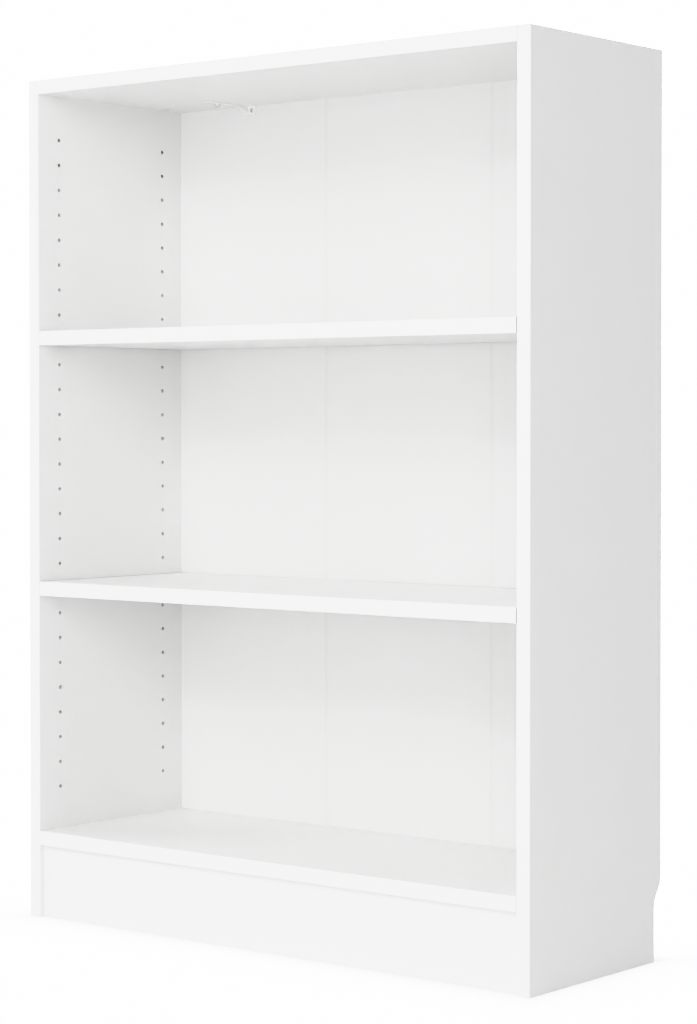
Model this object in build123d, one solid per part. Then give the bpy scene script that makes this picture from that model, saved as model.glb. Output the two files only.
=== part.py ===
"""Open bookcase of faced particleboard with two adjustable shelves, in millimetres.

+X runs to the right, the open front faces -Y and +Z is up. The origin is the middle of the
footprint, on the floor. Sides run full height; the top and bottom boards are held between them by
round cam connectors and dowels; the shelves rest on pins; a thin folded back is nailed on behind.
"""

import os

from build123d import *

# ---- Carcass -------------------------------------------------------------------------------
WIDTH = 788.0  # over both sides
SIDE_DEPTH = 266.0  # front edge to rear edge of a side
BOARD = 18.0  # thickness of every particleboard piece
EDGING = 0.8  # thickness of the glued edge bands

# ---- Drilling grid of the sides ------------------------------------------------------------
ROW_ZERO = 101.0  # height of drilling row 0, where the bottom board's bolts sit
ROW_PITCH = 32.0
COLUMN_SETBACK = 37.0  # front column from the front edge, rear column from the rear edge
AXIS_HEIGHT = 8.0  # bolt and pin axis above the underside of the board it carries
BOTTOM_ROW = 0
FIRST_HOLE_ROW = 2
LAST_HOLE_ROW = 28
LOWER_SHELF_ROW = 10
UPPER_SHELF_ROW = 20
TOP_ROW = 30
HOLE_DIAMETER = 5.0
HOLE_DEPTH = 11.5

# ---- Skirting recess at the rear foot of each side -----------------------------------------
RECESS_DEPTH = 14.0
RECESS_STRAIGHT = 63.0  # height of its upright part
RECESS_TOP = 102.0  # height where the curve meets the full depth again

# ---- Plinth --------------------------------------------------------------------------------
PLINTH_SETBACK = 6.5  # behind the front edges
PLINTH_TOP_GAP = 0.8  # below the bottom board
PLINTH_END_GAP = 0.4  # beside each side
PLINTH_DOWEL_ROWS = (-2, -1)  # on the same grid as the shelf holes
ANGLE_OFFSET = 220.0  # each steel angle from the middle of the bookcase
ANGLE_LEG = 28.0
ANGLE_WIDTH = 20.0
ANGLE_STEEL = 2.0
ANGLE_BEND = 1.2

# ---- Adjustable shelves --------------------------------------------------------------------
SHELF_END_GAP = 1.0  # between a shelf's end and the side
SHELF_BACK_GAP = 1.0  # between a shelf's rear edge and the back

# ---- Round fittings pressed into the undersides --------------------------------------------
FITTING_DIAMETER = 20.0
FITTING_HEIGHT = 14.0
FITTING_FLAT = 0.5  # cut off a fitting's round, flush with the end of its board
FITTING_SETBACK = FITTING_DIAMETER / 2 - FITTING_FLAT  # its centre from the end of the board
FITTING_CHAMFER = 0.4
SNUG = 0.05  # radial play of whatever is pressed, glued or screwed in
CUT_SPARE = 1.0  # how far a cut runs past the face that it opens

# ---- Cam connector of the fixed boards -----------------------------------------------------
BALL_DIAMETER = 6.0  # ball end of the connecting bolt
BALL_OFFSET = 0.6  # ball centre from the cam's axis, towards the side
NECK_DIAMETER = 3.2
BOLT_SHANK = 11.0  # length screwed into the side
CAM_DIAMETER = 14.6
CAM_ECCENTRICITY = 0.6  # half the pull of half a turn
CAM_PLAY = 0.05  # running play of the cam in its housing
CAM_RECESS = 0.3  # cam face above the underside of the board
CAM_LIP = 3.5  # housing floor that keeps the cam in
JOURNAL_DIAMETER = 9.0
BALL_PLAY = 0.1  # between the ball and the locked cam
CHANNEL_PLAY = 0.3  # between the ball and its way in
WOOD_RELIEF = 0.5  # the way in is cut this much wider, each side, in the board than in the fitting
NECK_PLAY = 0.25
CAM_ROOF_GAP = 0.4  # between the cam and the top of its housing
DRIVE_WIDTH = 1.3  # one arm of the cross recess
DRIVE_LENGTH = 5.4
DRIVE_DEPTH = 2.4

# ---- Dowels --------------------------------------------------------------------------------
DOWEL_DIAMETER = 8.0
DOWEL_LENGTH = 30.0
DOWEL_IN_SIDE = 9.5
DOWEL_HOLE_SPARE = 0.5  # left empty at the bottom of each dowel hole
DOWEL_CHAMFER = 0.8

# ---- Shelf pins ----------------------------------------------------------------------------
PIN_NOSE_DIAMETER = 6.0
PIN_NOSE_LENGTH = 9.0
PIN_SHANK = 11.0
PIN_CHAMFER = 0.6
PIN_CLEARANCE = 0.3  # all round the nose, in the socket of the shelf

# ---- Back ----------------------------------------------------------------------------------
BACK_THICKNESS = 3.0
BACK_INSET = 3.0  # of the back's upright edges and top edge from the carcass outline
LEFT_FOLD = 275.0  # fold lines, from the left outer face
RIGHT_FOLD = 541.0
FOLD_GAP = 5.0  # between two leaves
FOLD_BEAD_SUNK = 0.3  # strip in that gap, behind the front of the leaves
FOLD_TAPE_WIDTH = 22.0
FOLD_TAPE_THICKNESS = 0.5

# ---- Nails ---------------------------------------------------------------------------------
NAIL_DIAMETER = 1.4
NAIL_LENGTH = 22.0
NAIL_HEAD_DIAMETER = 3.6
NAIL_HEAD_HEIGHT = 0.6
NAIL_SPACING = 120.0  # the most between two nails of a row
NAIL_END_MARGIN = 30.0  # first nail of a row from the end of its leaf

# ---- Wall brackets under the top -----------------------------------------------------------
BRACKET_STEEL = 2.0
BRACKET_INNER_EDGE = 141.0  # of the strap, from the outer face of the nearer side
BRACKET_STRAP_WIDTH = 15.0
BRACKET_REACH = 74.0  # strap length, forward from the back
BRACKET_CORNER = 5.0  # rounding of the strap's front corners
BRACKET_LEG_CORNER = 2.0
BRACKET_LEG_HEIGHT = 11.0
BRACKET_LEG_WING = 13.0  # the leg runs on past the strap by this much
BRACKET_GUSSET_LENGTH = 15.0
BRACKET_GUSSET_HEIGHT = 6.0
BRACKET_GUSSET_STEEL = 1.5
BRACKET_SCREW_BACK = 53.0  # screw from the back
WALL_HOLE_DIAMETER = 5.5
WALL_HOLE_DROP = 6.0  # below the top board's underside
WALL_ACCESS_DIAMETER = 8.0  # hole in the back behind each wall hole

# ---- Pan-head screws -----------------------------------------------------------------------
SCREW_DIAMETER = 4.0
SCREW_LENGTH = 14.0
SCREW_HEAD_DIAMETER = 7.6
SCREW_HEAD_HEIGHT = 2.6
SCREW_HOLE_PLAY = 0.25  # radial play in the steel that it clamps
SCREW_HEAD_ROUND = 1.5
SCREW_POINT = 3.0
SCREW_TIP_RADIUS = 0.2
SCREW_DRIVE_WIDTH = 0.9
SCREW_DRIVE_LENGTH = 4.2
SCREW_DRIVE_DEPTH = 1.5

# ---- Worked out ----------------------------------------------------------------------------
INNER = WIDTH - 2 * BOARD
TOTAL_DEPTH = SIDE_DEPTH + BACK_THICKNESS + max(NAIL_HEAD_HEIGHT, FOLD_TAPE_THICKNESS)
FRONT = -TOTAL_DEPTH / 2
REAR = FRONT + SIDE_DEPTH  # rear edges of the sides, front face of the back
COLUMNS = (FRONT + COLUMN_SETBACK, REAR - COLUMN_SETBACK)
DOWEL_COLUMNS = (COLUMNS[0] + ROW_PITCH, COLUMNS[1] - ROW_PITCH)
HANDS = (-1, 1)  # left end, right end


def row_height(row: int) -> float:
    """Height of a drilling row above the floor."""
    return ROW_ZERO + row * ROW_PITCH


def underside(row: int) -> float:
    """Underside of the board that a drilling row carries."""
    return row_height(row) - AXIS_HEIGHT


HEIGHT = underside(TOP_ROW) + BOARD
BACK_BOTTOM = RECESS_TOP
BACK_TOP = HEIGHT - BACK_INSET
BALL_CENTRE = FITTING_SETBACK - BALL_OFFSET
CHANNEL_DIAMETER = BALL_DIAMETER + 2 * CHANNEL_PLAY
PLINTH_FRONT = FRONT + PLINTH_SETBACK
PLINTH_BACK = PLINTH_FRONT + BOARD
PLINTH_TOP = underside(BOTTOM_ROW) - PLINTH_TOP_GAP
CONNECTOR_ENDS = [(hand, column) for hand in HANDS for column in COLUMNS]
DOWEL_ENDS = [(hand, column) for hand in HANDS for column in DOWEL_COLUMNS]
BRACKET_SCREW_X = BRACKET_INNER_EDGE - BRACKET_STRAP_WIDTH / 2
WALL_HOLE_X = BRACKET_INNER_EDGE + BRACKET_LEG_WING / 2


# ---- Plain shapes --------------------------------------------------------------------------
def block(x: tuple, y: tuple, z: tuple) -> Part:
    """Box between two values on each axis."""
    centre = Pos((x[0] + x[1]) / 2, (y[0] + y[1]) / 2, (z[0] + z[1]) / 2)
    return centre * Box(abs(x[1] - x[0]), abs(y[1] - y[0]), abs(z[1] - z[0]))


def rod_x(start: float, end: float, diameter: float, y: float = 0.0, z: float = 0.0) -> Part:
    """Cylinder along X."""
    turned = Pos((start + end) / 2, y, z) * Rot(0, 90, 0)
    return turned * Cylinder(diameter / 2, abs(end - start))


def rod_y(start: float, end: float, diameter: float, x: float, z: float) -> Part:
    """Cylinder along Y."""
    turned = Pos(x, (start + end) / 2, z) * Rot(90, 0, 0)
    return turned * Cylinder(diameter / 2, abs(end - start))


def rod_z(start: float, end: float, diameter: float, x: float = 0.0, y: float = 0.0) -> Part:
    """Cylinder along Z."""
    return Pos(x, y, (start + end) / 2) * Cylinder(diameter / 2, abs(end - start))


def at_end(hand: int, y: float, z: float, gap: float = 0.0) -> Location:
    """Place of a fitting at a board's end: its own +X runs into the board from the end face."""
    return Location((hand * (INNER / 2 - gap), y, z), (0, 0, 0 if hand < 0 else 180))


def placed(shape: Part, ends: list, z: float, gap: float = 0.0) -> list:
    """Copies of a fitting at several board ends."""
    return [at_end(hand, y, z, gap) * shape for hand, y in ends]


def cross_recess(width: float, length: float, depth: float) -> Part:
    """Cross-shaped driver recess that goes up from z = 0."""
    arm = Box(length, width, depth)
    return Pos(0, 0, depth / 2) * (arm + Rot(0, 0, 90) * arm)


def spread(start: float, end: float, spacing: float) -> list:
    """Even positions from start to end, no further apart than the spacing."""
    gaps = max(1, -int(-(end - start) // spacing))
    return [start + (end - start) * i / gaps for i in range(gaps + 1)]


# ---- Fixings, each in its own axes ---------------------------------------------------------
def pan_screw() -> Part:
    """Screw whose head seats on z = 0 and whose shank points up."""
    head = rod_z(-SCREW_HEAD_HEIGHT, 0, SCREW_HEAD_DIAMETER)
    head = fillet(head.edges().group_by(Axis.Z)[0], SCREW_HEAD_ROUND)
    drive = cross_recess(SCREW_DRIVE_WIDTH, SCREW_DRIVE_LENGTH, SCREW_DRIVE_DEPTH)
    head -= Pos(0, 0, -SCREW_HEAD_HEIGHT) * drive
    shank = rod_z(0, SCREW_LENGTH - SCREW_POINT, SCREW_DIAMETER)
    point = Cone(SCREW_DIAMETER / 2, SCREW_TIP_RADIUS, SCREW_POINT)
    point = Pos(0, 0, SCREW_LENGTH - SCREW_POINT / 2) * point
    return head + shank + point


def screw_hole() -> Part:
    """Hole in a board for a screw that seats on z = 0."""
    return rod_z(0, SCREW_LENGTH, SCREW_DIAMETER + 2 * SNUG)


def screw_clearance(steel: float) -> Part:
    """Hole for a screw in the steel above z = 0 that it clamps."""
    return rod_z(-CUT_SPARE, steel + CUT_SPARE, SCREW_DIAMETER + 2 * SCREW_HOLE_PLAY)


def nail() -> Part:
    """Flat-headed nail along Y: head behind y = 0, shank towards -Y."""
    head = rod_y(0, NAIL_HEAD_HEIGHT, NAIL_HEAD_DIAMETER, 0, 0)
    return head + rod_y(-NAIL_LENGTH, 0, NAIL_DIAMETER, 0, 0)


def dowel() -> Part:
    """Wooden dowel across a joint: x = 0 is the end face of the board."""
    peg = rod_x(-DOWEL_IN_SIDE, DOWEL_LENGTH - DOWEL_IN_SIDE, DOWEL_DIAMETER)
    return chamfer(peg.edges().filter_by(GeomType.CIRCLE), DOWEL_CHAMFER)


def dowel_hole() -> Part:
    """Hole for a dowel, on both sides of the joint."""
    start = -DOWEL_IN_SIDE - DOWEL_HOLE_SPARE
    end = DOWEL_LENGTH - DOWEL_IN_SIDE + DOWEL_HOLE_SPARE
    return rod_x(start, end, DOWEL_DIAMETER + 2 * SNUG)


def connecting_bolt() -> Part:
    """Bolt in the side with a ball end for the cam; x = 0 is the side's inner face."""
    shank = rod_x(-BOLT_SHANK, 0, HOLE_DIAMETER - 2 * SNUG)
    neck = rod_x(0, BALL_CENTRE, NECK_DIAMETER)
    ball = Pos(BALL_CENTRE, 0, 0) * Sphere(BALL_DIAMETER / 2)
    return Pos(0, 0, AXIS_HEIGHT) * (shank + neck + ball)


def fitting_body() -> Part:
    """Round body flush with the underside and cut flat at the board's end."""
    body = rod_z(0, FITTING_HEIGHT, FITTING_DIAMETER)
    body = chamfer(body.edges().group_by(Axis.Z)[0], FITTING_CHAMFER)
    body = Pos(FITTING_SETBACK, 0, 0) * body
    reach = FITTING_DIAMETER
    return body & block((0, 2 * reach), (-reach, reach), (0, FITTING_HEIGHT))


def fitting_hole() -> Part:
    """Blind hole for a round fitting, in the underside of a board."""
    hole = rod_z(-CUT_SPARE, FITTING_HEIGHT + SNUG, FITTING_DIAMETER + 2 * SNUG)
    return Pos(FITTING_SETBACK, 0, 0) * hole


def bolt_channel(relief: float = 0.0) -> Part:
    """Way in for the ball end, along the bolt from the board's end."""
    return rod_x(-CUT_SPARE, FITTING_SETBACK, CHANNEL_DIAMETER + 2 * relief, 0, AXIS_HEIGHT)


def connector_housing() -> Part:
    """Plastic housing that holds a cam from below and lets the ball end in."""
    journal = rod_z(-CUT_SPARE, CAM_LIP + CUT_SPARE, JOURNAL_DIAMETER + 2 * CAM_PLAY, FITTING_SETBACK)
    pocket = rod_z(CAM_LIP, FITTING_HEIGHT + CUT_SPARE, CAM_DIAMETER + 2 * CAM_PLAY, FITTING_SETBACK)
    return fitting_body() - journal - pocket - bolt_channel()


def cam() -> Part:
    """Cam about Z at its own origin, locked: it turns half a turn anticlockwise to let go."""
    drum_top = FITTING_HEIGHT - CAM_ROOF_GAP
    body = rod_z(CAM_LIP + CAM_PLAY, drum_top, CAM_DIAMETER)
    body += rod_z(CAM_RECESS, AXIS_HEIGHT, JOURNAL_DIAMETER)
    radius = BALL_DIAMETER / 2 + BALL_OFFSET + CAM_ECCENTRICITY + BALL_PLAY
    half_height = BALL_DIAMETER / 2 + CHANNEL_PLAY
    hollow = rod_z(AXIS_HEIGHT - half_height, AXIS_HEIGHT + half_height, 2 * radius, CAM_ECCENTRICITY)
    mouth = rod_x(0, CAM_DIAMETER, CHANNEL_DIAMETER, 0, AXIS_HEIGHT)
    neck = NECK_DIAMETER / 2 + NECK_PLAY
    slit_height = (AXIS_HEIGHT - neck, AXIS_HEIGHT + neck)
    slit = block((-CAM_DIAMETER, CAM_DIAMETER), (-neck, CAM_DIAMETER), slit_height)
    drive = Pos(0, 0, CAM_RECESS) * cross_recess(DRIVE_WIDTH, DRIVE_LENGTH, DRIVE_DEPTH)
    return body - hollow - mouth - slit - drive


def pin_slot(relief: float = 0.0) -> Part:
    """Slot that lets a shelf drop onto a pin: open below, round above the pin."""
    along = (-CUT_SPARE, PIN_NOSE_LENGTH - SHELF_END_GAP + PIN_CLEARANCE)
    half = PIN_NOSE_DIAMETER / 2 + PIN_CLEARANCE + relief
    below = block(along, (-half, half), (-CUT_SPARE, AXIS_HEIGHT))
    return below + rod_x(*along, 2 * half, 0, AXIS_HEIGHT)


def shelf_socket() -> Part:
    """Round socket in a shelf's end that sits over a pin."""
    return fitting_body() - pin_slot()


def shelf_pin() -> Part:
    """Steel pin; x = 0 is the side's inner face."""
    nose = rod_x(0, PIN_NOSE_LENGTH, PIN_NOSE_DIAMETER)
    nose = chamfer(nose.edges().group_by(Axis.X)[-1], PIN_CHAMFER)
    shank = rod_x(-PIN_SHANK, 0, HOLE_DIAMETER - 2 * SNUG)
    shank = chamfer(shank.edges().group_by(Axis.X)[0], PIN_CHAMFER)
    return nose + shank


# ---- Sides ---------------------------------------------------------------------------------
def side_outline() -> Face:
    """Side seen along X, with the skirting recess at its rear foot."""
    front = FRONT + EDGING
    top = HEIGHT - EDGING
    recess = REAR - RECESS_DEPTH
    middle = (REAR - RECESS_DEPTH / 2, (RECESS_STRAIGHT + RECESS_TOP) / 2)
    foot = [(recess, RECESS_STRAIGHT), (recess, 0), (front, 0)]
    straight = Polyline(*foot, (front, top), (REAR, top), (REAR, RECESS_TOP))
    upper_arc = TangentArc((REAR, RECESS_TOP), middle, tangent=(0, -1))
    lower_arc = TangentArc((recess, RECESS_STRAIGHT), middle, tangent=(0, 1))
    return make_face(straight + upper_arc + lower_arc)


def side(hand: int) -> Part:
    """One side, with every hole that is drilled into it."""
    outline = Plane.YZ * side_outline()
    panel = extrude(outline, BOARD)
    panel = Pos(hand * WIDTH / 2 - (BOARD if hand > 0 else 0), 0, 0) * panel
    rows = [BOTTOM_ROW, *range(FIRST_HOLE_ROW, LAST_HOLE_ROW + 1), TOP_ROW]
    hole = rod_x(-HOLE_DEPTH, CUT_SPARE, HOLE_DIAMETER)
    holes = [at_end(hand, y, row_height(row)) * hole for row in rows for y in COLUMNS]
    for row in (BOTTOM_ROW, TOP_ROW):
        holes += [at_end(hand, y, row_height(row)) * dowel_hole() for y in DOWEL_COLUMNS]
    holes += [place * dowel_hole() for place in plinth_dowel_places(hand)]
    holes += nail_holes(side_nail_places(hand))
    return panel - holes


def side_edging(hand: int) -> list:
    """Edge bands on the front edge and on the top end of a side."""
    across = (hand * WIDTH / 2, hand * INNER / 2)
    front = block(across, (FRONT, FRONT + EDGING), (0, HEIGHT))
    top = block(across, (FRONT + EDGING, REAR), (HEIGHT - EDGING, HEIGHT))
    return [front, top]


# ---- Boards between the sides --------------------------------------------------------------
def front_edging(half_width: float, base: float) -> Part:
    """Edge band on the front of a board."""
    return block((-half_width, half_width), (FRONT, FRONT + EDGING), (base, base + BOARD))


def fixed_board(row: int) -> Part:
    """Top or bottom board with its connector, dowel and nail holes."""
    base = underside(row)
    panel = block((-INNER / 2, INNER / 2), (FRONT + EDGING, REAR), (base, base + BOARD))
    cuts = placed(fitting_hole(), CONNECTOR_ENDS, base)
    cuts += placed(bolt_channel(WOOD_RELIEF), CONNECTOR_ENDS, base)
    cuts += placed(dowel_hole(), DOWEL_ENDS, row_height(row))
    return panel - cuts


def top_panel() -> Part:
    """Top board, also drilled for the wall brackets and for the nails of the back."""
    holes = [Pos(x, y, z - BRACKET_STEEL) * screw_hole() for x, y, z in bracket_screw_places()]
    return fixed_board(TOP_ROW) - holes - nail_holes(top_nail_places())


def bottom_panel() -> Part:
    """Bottom board, also drilled for the plinth angles and for the nails of the back."""
    holes = [place * screw_hole() for place in angle_screw_places()[0::2]]
    return fixed_board(BOTTOM_ROW) - holes - nail_holes(bottom_nail_places())


def shelf(row: int) -> Part:
    """Adjustable shelf with a socket hole and a pin slot at each corner."""
    base = underside(row)
    half = INNER / 2 - SHELF_END_GAP
    panel = block((-half, half), (FRONT + EDGING, REAR - SHELF_BACK_GAP), (base, base + BOARD))
    cuts = placed(fitting_hole(), CONNECTOR_ENDS, base, SHELF_END_GAP)
    cuts += placed(pin_slot(WOOD_RELIEF), CONNECTOR_ENDS, base, SHELF_END_GAP)
    return panel - cuts


def cam_places(row: int) -> dict:
    """Place of each cam of a fixed board, by the corner that it is in."""
    axis = Pos(FITTING_SETBACK, 0, 0)
    places = {}
    for depth_name, column in zip(("front", "rear"), COLUMNS):
        for hand_name, hand in zip(("left", "right"), HANDS):
            places[f"{depth_name}_{hand_name}"] = at_end(hand, column, underside(row)) * axis
    return places


# ---- Plinth --------------------------------------------------------------------------------
def plinth() -> Part:
    """Plinth board below the bottom board, behind the line of the front edges."""
    half = INNER / 2 - PLINTH_END_GAP
    panel = block((-half, half), (PLINTH_FRONT, PLINTH_BACK), (0, PLINTH_TOP))
    cuts = [place * dowel_hole() for hand in HANDS for place in plinth_dowel_places(hand)]
    cuts += [place * screw_hole() for place in angle_screw_places()[1::2]]
    return panel - cuts


def plinth_dowel_places(hand: int) -> list:
    """Place of each dowel in one end of the plinth."""
    middle = (PLINTH_FRONT + PLINTH_BACK) / 2
    return [at_end(hand, middle, row_height(row)) for row in PLINTH_DOWEL_ROWS]


def angle_screw_places() -> list:
    """Screw seats of each steel angle: one up into the bottom board, one forward into the plinth."""
    reach = ANGLE_STEEL + (ANGLE_LEG - ANGLE_STEEL) / 2
    corner = underside(BOTTOM_ROW)
    places = []
    for hand in HANDS:
        x = hand * ANGLE_OFFSET
        places.append(Location((x, PLINTH_BACK + reach, corner - ANGLE_STEEL)))
        places.append(Location((x, PLINTH_BACK + ANGLE_STEEL, corner - reach), (90, 0, 0)))
    return places


def plinth_angle(hand: int) -> Part:
    """Steel angle between the plinth's back and the underside of the bottom board."""
    corner = underside(BOTTOM_ROW)
    x = hand * ANGLE_OFFSET
    across = (x - ANGLE_WIDTH / 2, x + ANGLE_WIDTH / 2)
    flat = block(across, (PLINTH_BACK, PLINTH_BACK + ANGLE_LEG), (corner - ANGLE_STEEL, corner))
    upright = block(across, (PLINTH_BACK, PLINTH_BACK + ANGLE_STEEL), (corner - ANGLE_LEG, corner))
    bend = (flat + upright).edges().filter_by(Axis.X).sort_by_distance((x, PLINTH_BACK, corner))[0]
    angle = fillet(bend, ANGLE_BEND)
    mine = angle_screw_places()[0:2] if hand < 0 else angle_screw_places()[2:4]
    return angle - [place * screw_clearance(ANGLE_STEEL) for place in mine]


# ---- Back ----------------------------------------------------------------------------------
def leaf_spans() -> list:
    """Left and right edge of each leaf of the back."""
    left = -WIDTH / 2 + BACK_INSET
    right = WIDTH / 2 - BACK_INSET
    folds = fold_lines()
    edges = [left]
    for fold in folds:
        edges += [fold - FOLD_GAP / 2, fold + FOLD_GAP / 2]
    edges.append(right)
    return [(edges[i], edges[i + 1]) for i in (0, 2, 4)]


def fold_lines() -> tuple:
    """X of the two fold lines."""
    return (LEFT_FOLD - WIDTH / 2, RIGHT_FOLD - WIDTH / 2)


def back_leaf(index: int) -> Part:
    """One leaf of the back, with its nail holes and the access to the wall screws."""
    leaf = block(leaf_spans()[index], (REAR, REAR + BACK_THICKNESS), (BACK_BOTTOM, BACK_TOP))
    places = side_nail_places(-1) + side_nail_places(1) + top_nail_places() + bottom_nail_places()
    behind = (REAR - CUT_SPARE, REAR + BACK_THICKNESS + CUT_SPARE)
    access = [rod_y(*behind, WALL_ACCESS_DIAMETER, x, z) for x, z in wall_hole_places()]
    return leaf - nail_holes(places) - access


def fold_strip(fold: float) -> Part:
    """Flexible strip: a tape behind two leaves with a bead in the gap between them."""
    height = (BACK_BOTTOM, BACK_TOP)
    behind = REAR + BACK_THICKNESS
    outside = behind + FOLD_TAPE_THICKNESS
    tape = block((fold - FOLD_TAPE_WIDTH / 2, fold + FOLD_TAPE_WIDTH / 2), (behind, outside), height)
    half_bead = FOLD_GAP / 2 - SNUG
    bead = block((fold - half_bead, fold + half_bead), (REAR + FOLD_BEAD_SUNK, outside), height)
    return tape + bead


# ---- Nails of the back ---------------------------------------------------------------------
def side_nail_places(hand: int) -> list:
    """Nails into the rear edge of a side, as (x, z)."""
    x = hand * (WIDTH / 2 - BOARD / 2)
    heights = spread(BACK_BOTTOM + NAIL_END_MARGIN, BACK_TOP - NAIL_END_MARGIN, NAIL_SPACING)
    return [(x, z) for z in heights]


def row_nail_places(z: float) -> list:
    """Nails into the rear edge of a board, leaf by leaf, as (x, z)."""
    places = []
    for left, right in leaf_spans():
        places += [(x, z) for x in spread(left + NAIL_END_MARGIN, right - NAIL_END_MARGIN, NAIL_SPACING)]
    return places


def top_nail_places() -> list:
    """Nails into the top board."""
    return row_nail_places(underside(TOP_ROW) + BOARD / 2)


def bottom_nail_places() -> list:
    """Nails into the bottom board, in the strip that the back covers."""
    return row_nail_places((BACK_BOTTOM + underside(BOTTOM_ROW) + BOARD) / 2)


def nails(places: list) -> list:
    """A nail at each place, its head on the back."""
    return [Pos(x, REAR + BACK_THICKNESS, z) * nail() for x, z in places]


def nail_holes(places: list) -> list:
    """The hole that each nail makes."""
    tip = REAR + BACK_THICKNESS - NAIL_LENGTH - SNUG
    mouth = REAR + BACK_THICKNESS + CUT_SPARE
    return [rod_y(tip, mouth, NAIL_DIAMETER + 2 * SNUG, x, z) for x, z in places]


# ---- Wall brackets -------------------------------------------------------------------------
def bracket_screw_places() -> list:
    """Where each bracket's screw goes up into the top board, at the board's underside."""
    y = REAR - BRACKET_SCREW_BACK
    return [(hand * (WIDTH / 2 - BRACKET_SCREW_X), y, underside(TOP_ROW)) for hand in HANDS]


def wall_hole_places() -> list:
    """Where each bracket is screwed to the wall, as (x, z)."""
    z = underside(TOP_ROW) - WALL_HOLE_DROP
    return [(hand * (WIDTH / 2 - WALL_HOLE_X), z) for hand in HANDS]


def wall_bracket(hand: int) -> Part:
    """Pressed bracket: a strap under the top, a leg down the back and a gusset between them."""
    ceiling = underside(TOP_ROW)
    inner = hand * (WIDTH / 2 - BRACKET_INNER_EDGE)
    outer = inner + hand * BRACKET_STRAP_WIDTH
    wing = inner - hand * BRACKET_LEG_WING
    strap = block((inner, outer), (REAR - BRACKET_REACH, REAR), (ceiling - BRACKET_STEEL, ceiling))
    front_corners = strap.edges().filter_by(Axis.Z).group_by(Axis.Y)[0]
    strap = fillet(front_corners, BRACKET_CORNER)
    leg = block((outer, wing), (REAR - BRACKET_STEEL, REAR), (ceiling - BRACKET_LEG_HEIGHT, ceiling))
    low_corners = leg.edges().filter_by(Axis.Y).group_by(Axis.Z)[0]
    leg = fillet(low_corners, BRACKET_LEG_CORNER)
    knee = (REAR - BRACKET_STEEL, ceiling - BRACKET_STEEL)
    triangle = Polyline(
        knee,
        (knee[0] - BRACKET_GUSSET_LENGTH, knee[1]),
        (knee[0], knee[1] - BRACKET_GUSSET_HEIGHT),
        close=True,
    )
    web = extrude(Plane.YZ * make_face(triangle), BRACKET_GUSSET_STEEL)
    web = Pos(inner if hand > 0 else inner - BRACKET_GUSSET_STEEL, 0, 0) * web
    screw_x, screw_y, screw_z = bracket_screw_places()[HANDS.index(hand)]
    screw_hole = Pos(screw_x, screw_y, screw_z - BRACKET_STEEL) * screw_clearance(BRACKET_STEEL)
    wall_x, wall_z = wall_hole_places()[HANDS.index(hand)]
    wall_hole = rod_y(REAR - BRACKET_STEEL - CUT_SPARE, REAR + CUT_SPARE, WALL_HOLE_DIAMETER, wall_x, wall_z)
    return strap + leg + web - screw_hole - wall_hole


def wall_bracket_screws() -> list:
    """The screw that holds each bracket to the top board."""
    return [Pos(x, y, z - BRACKET_STEEL) * pan_screw() for x, y, z in bracket_screw_places()]


# ---- Everything, one file per node ---------------------------------------------------------
def all_nodes() -> dict:
    """Every node of the bookcase by name."""
    nodes = {
        "left_side": side(-1),
        "right_side": side(1),
        "left_side_edging": side_edging(-1),
        "right_side_edging": side_edging(1),
        "top_panel": top_panel(),
        "bottom_panel": bottom_panel(),
        "top_panel_edging": front_edging(INNER / 2, underside(TOP_ROW)),
        "bottom_panel_edging": front_edging(INNER / 2, underside(BOTTOM_ROW)),
        "plinth": plinth(),
        "plinth_dowels": [place * dowel() for hand in HANDS for place in plinth_dowel_places(hand)],
        "plinth_angles": [plinth_angle(hand) for hand in HANDS],
        "plinth_angle_screws": [place * pan_screw() for place in angle_screw_places()],
        "back_fold_strips": [fold_strip(fold) for fold in fold_lines()],
        "back_side_nails": nails(side_nail_places(-1) + side_nail_places(1)),
        "back_top_nails": nails(top_nail_places()),
        "back_bottom_nails": nails(bottom_nail_places()),
        "wall_bracket_left": wall_bracket(-1),
        "wall_bracket_right": wall_bracket(1),
        "wall_bracket_screws": wall_bracket_screws(),
    }
    for index, name in enumerate(("left", "middle", "right")):
        nodes[f"back_panel_{name}"] = back_leaf(index)
    for name, row in (("top", TOP_ROW), ("bottom", BOTTOM_ROW)):
        base = underside(row)
        nodes[f"{name}_connector_housings"] = placed(connector_housing(), CONNECTOR_ENDS, base)
        nodes[f"{name}_connecting_bolts"] = placed(connecting_bolt(), CONNECTOR_ENDS, base)
        nodes[f"{name}_dowels"] = placed(dowel(), DOWEL_ENDS, row_height(row))
        for corner, place in cam_places(row).items():
            nodes[f"{name}_cam_{corner}"] = place * cam()
    for name, row in (("upper", UPPER_SHELF_ROW), ("lower", LOWER_SHELF_ROW)):
        base = underside(row)
        nodes[f"{name}_shelf"] = shelf(row)
        nodes[f"{name}_shelf_edging"] = front_edging(INNER / 2 - SHELF_END_GAP, base)
        nodes[f"{name}_shelf_sockets"] = placed(shelf_socket(), CONNECTOR_ENDS, base, SHELF_END_GAP)
        nodes[f"{name}_shelf_pins"] = placed(shelf_pin(), CONNECTOR_ENDS, row_height(row))
    return nodes


os.makedirs("parts", exist_ok=True)
for node_name, shape in all_nodes().items():
    whole = Compound(children=list(shape)) if isinstance(shape, list) else shape
    export_step(whole, f"parts/{node_name}.step")
print("height", HEIGHT, "total depth", TOTAL_DEPTH, "front", FRONT, "rear edges", REAR)
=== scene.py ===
"""Open bookcase with two adjustable shelves: its finishes, its small hardware and its studio.

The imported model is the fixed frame. Lengths are metres in that frame: +X runs to the right, the
open front faces -Y, +Z is up, and the origin is the middle of the footprint, on the floor.
"""

import logging
import math
from collections.abc import Callable, Iterable, Sequence
from dataclasses import dataclass, field
from enum import Enum
from typing import Any

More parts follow.
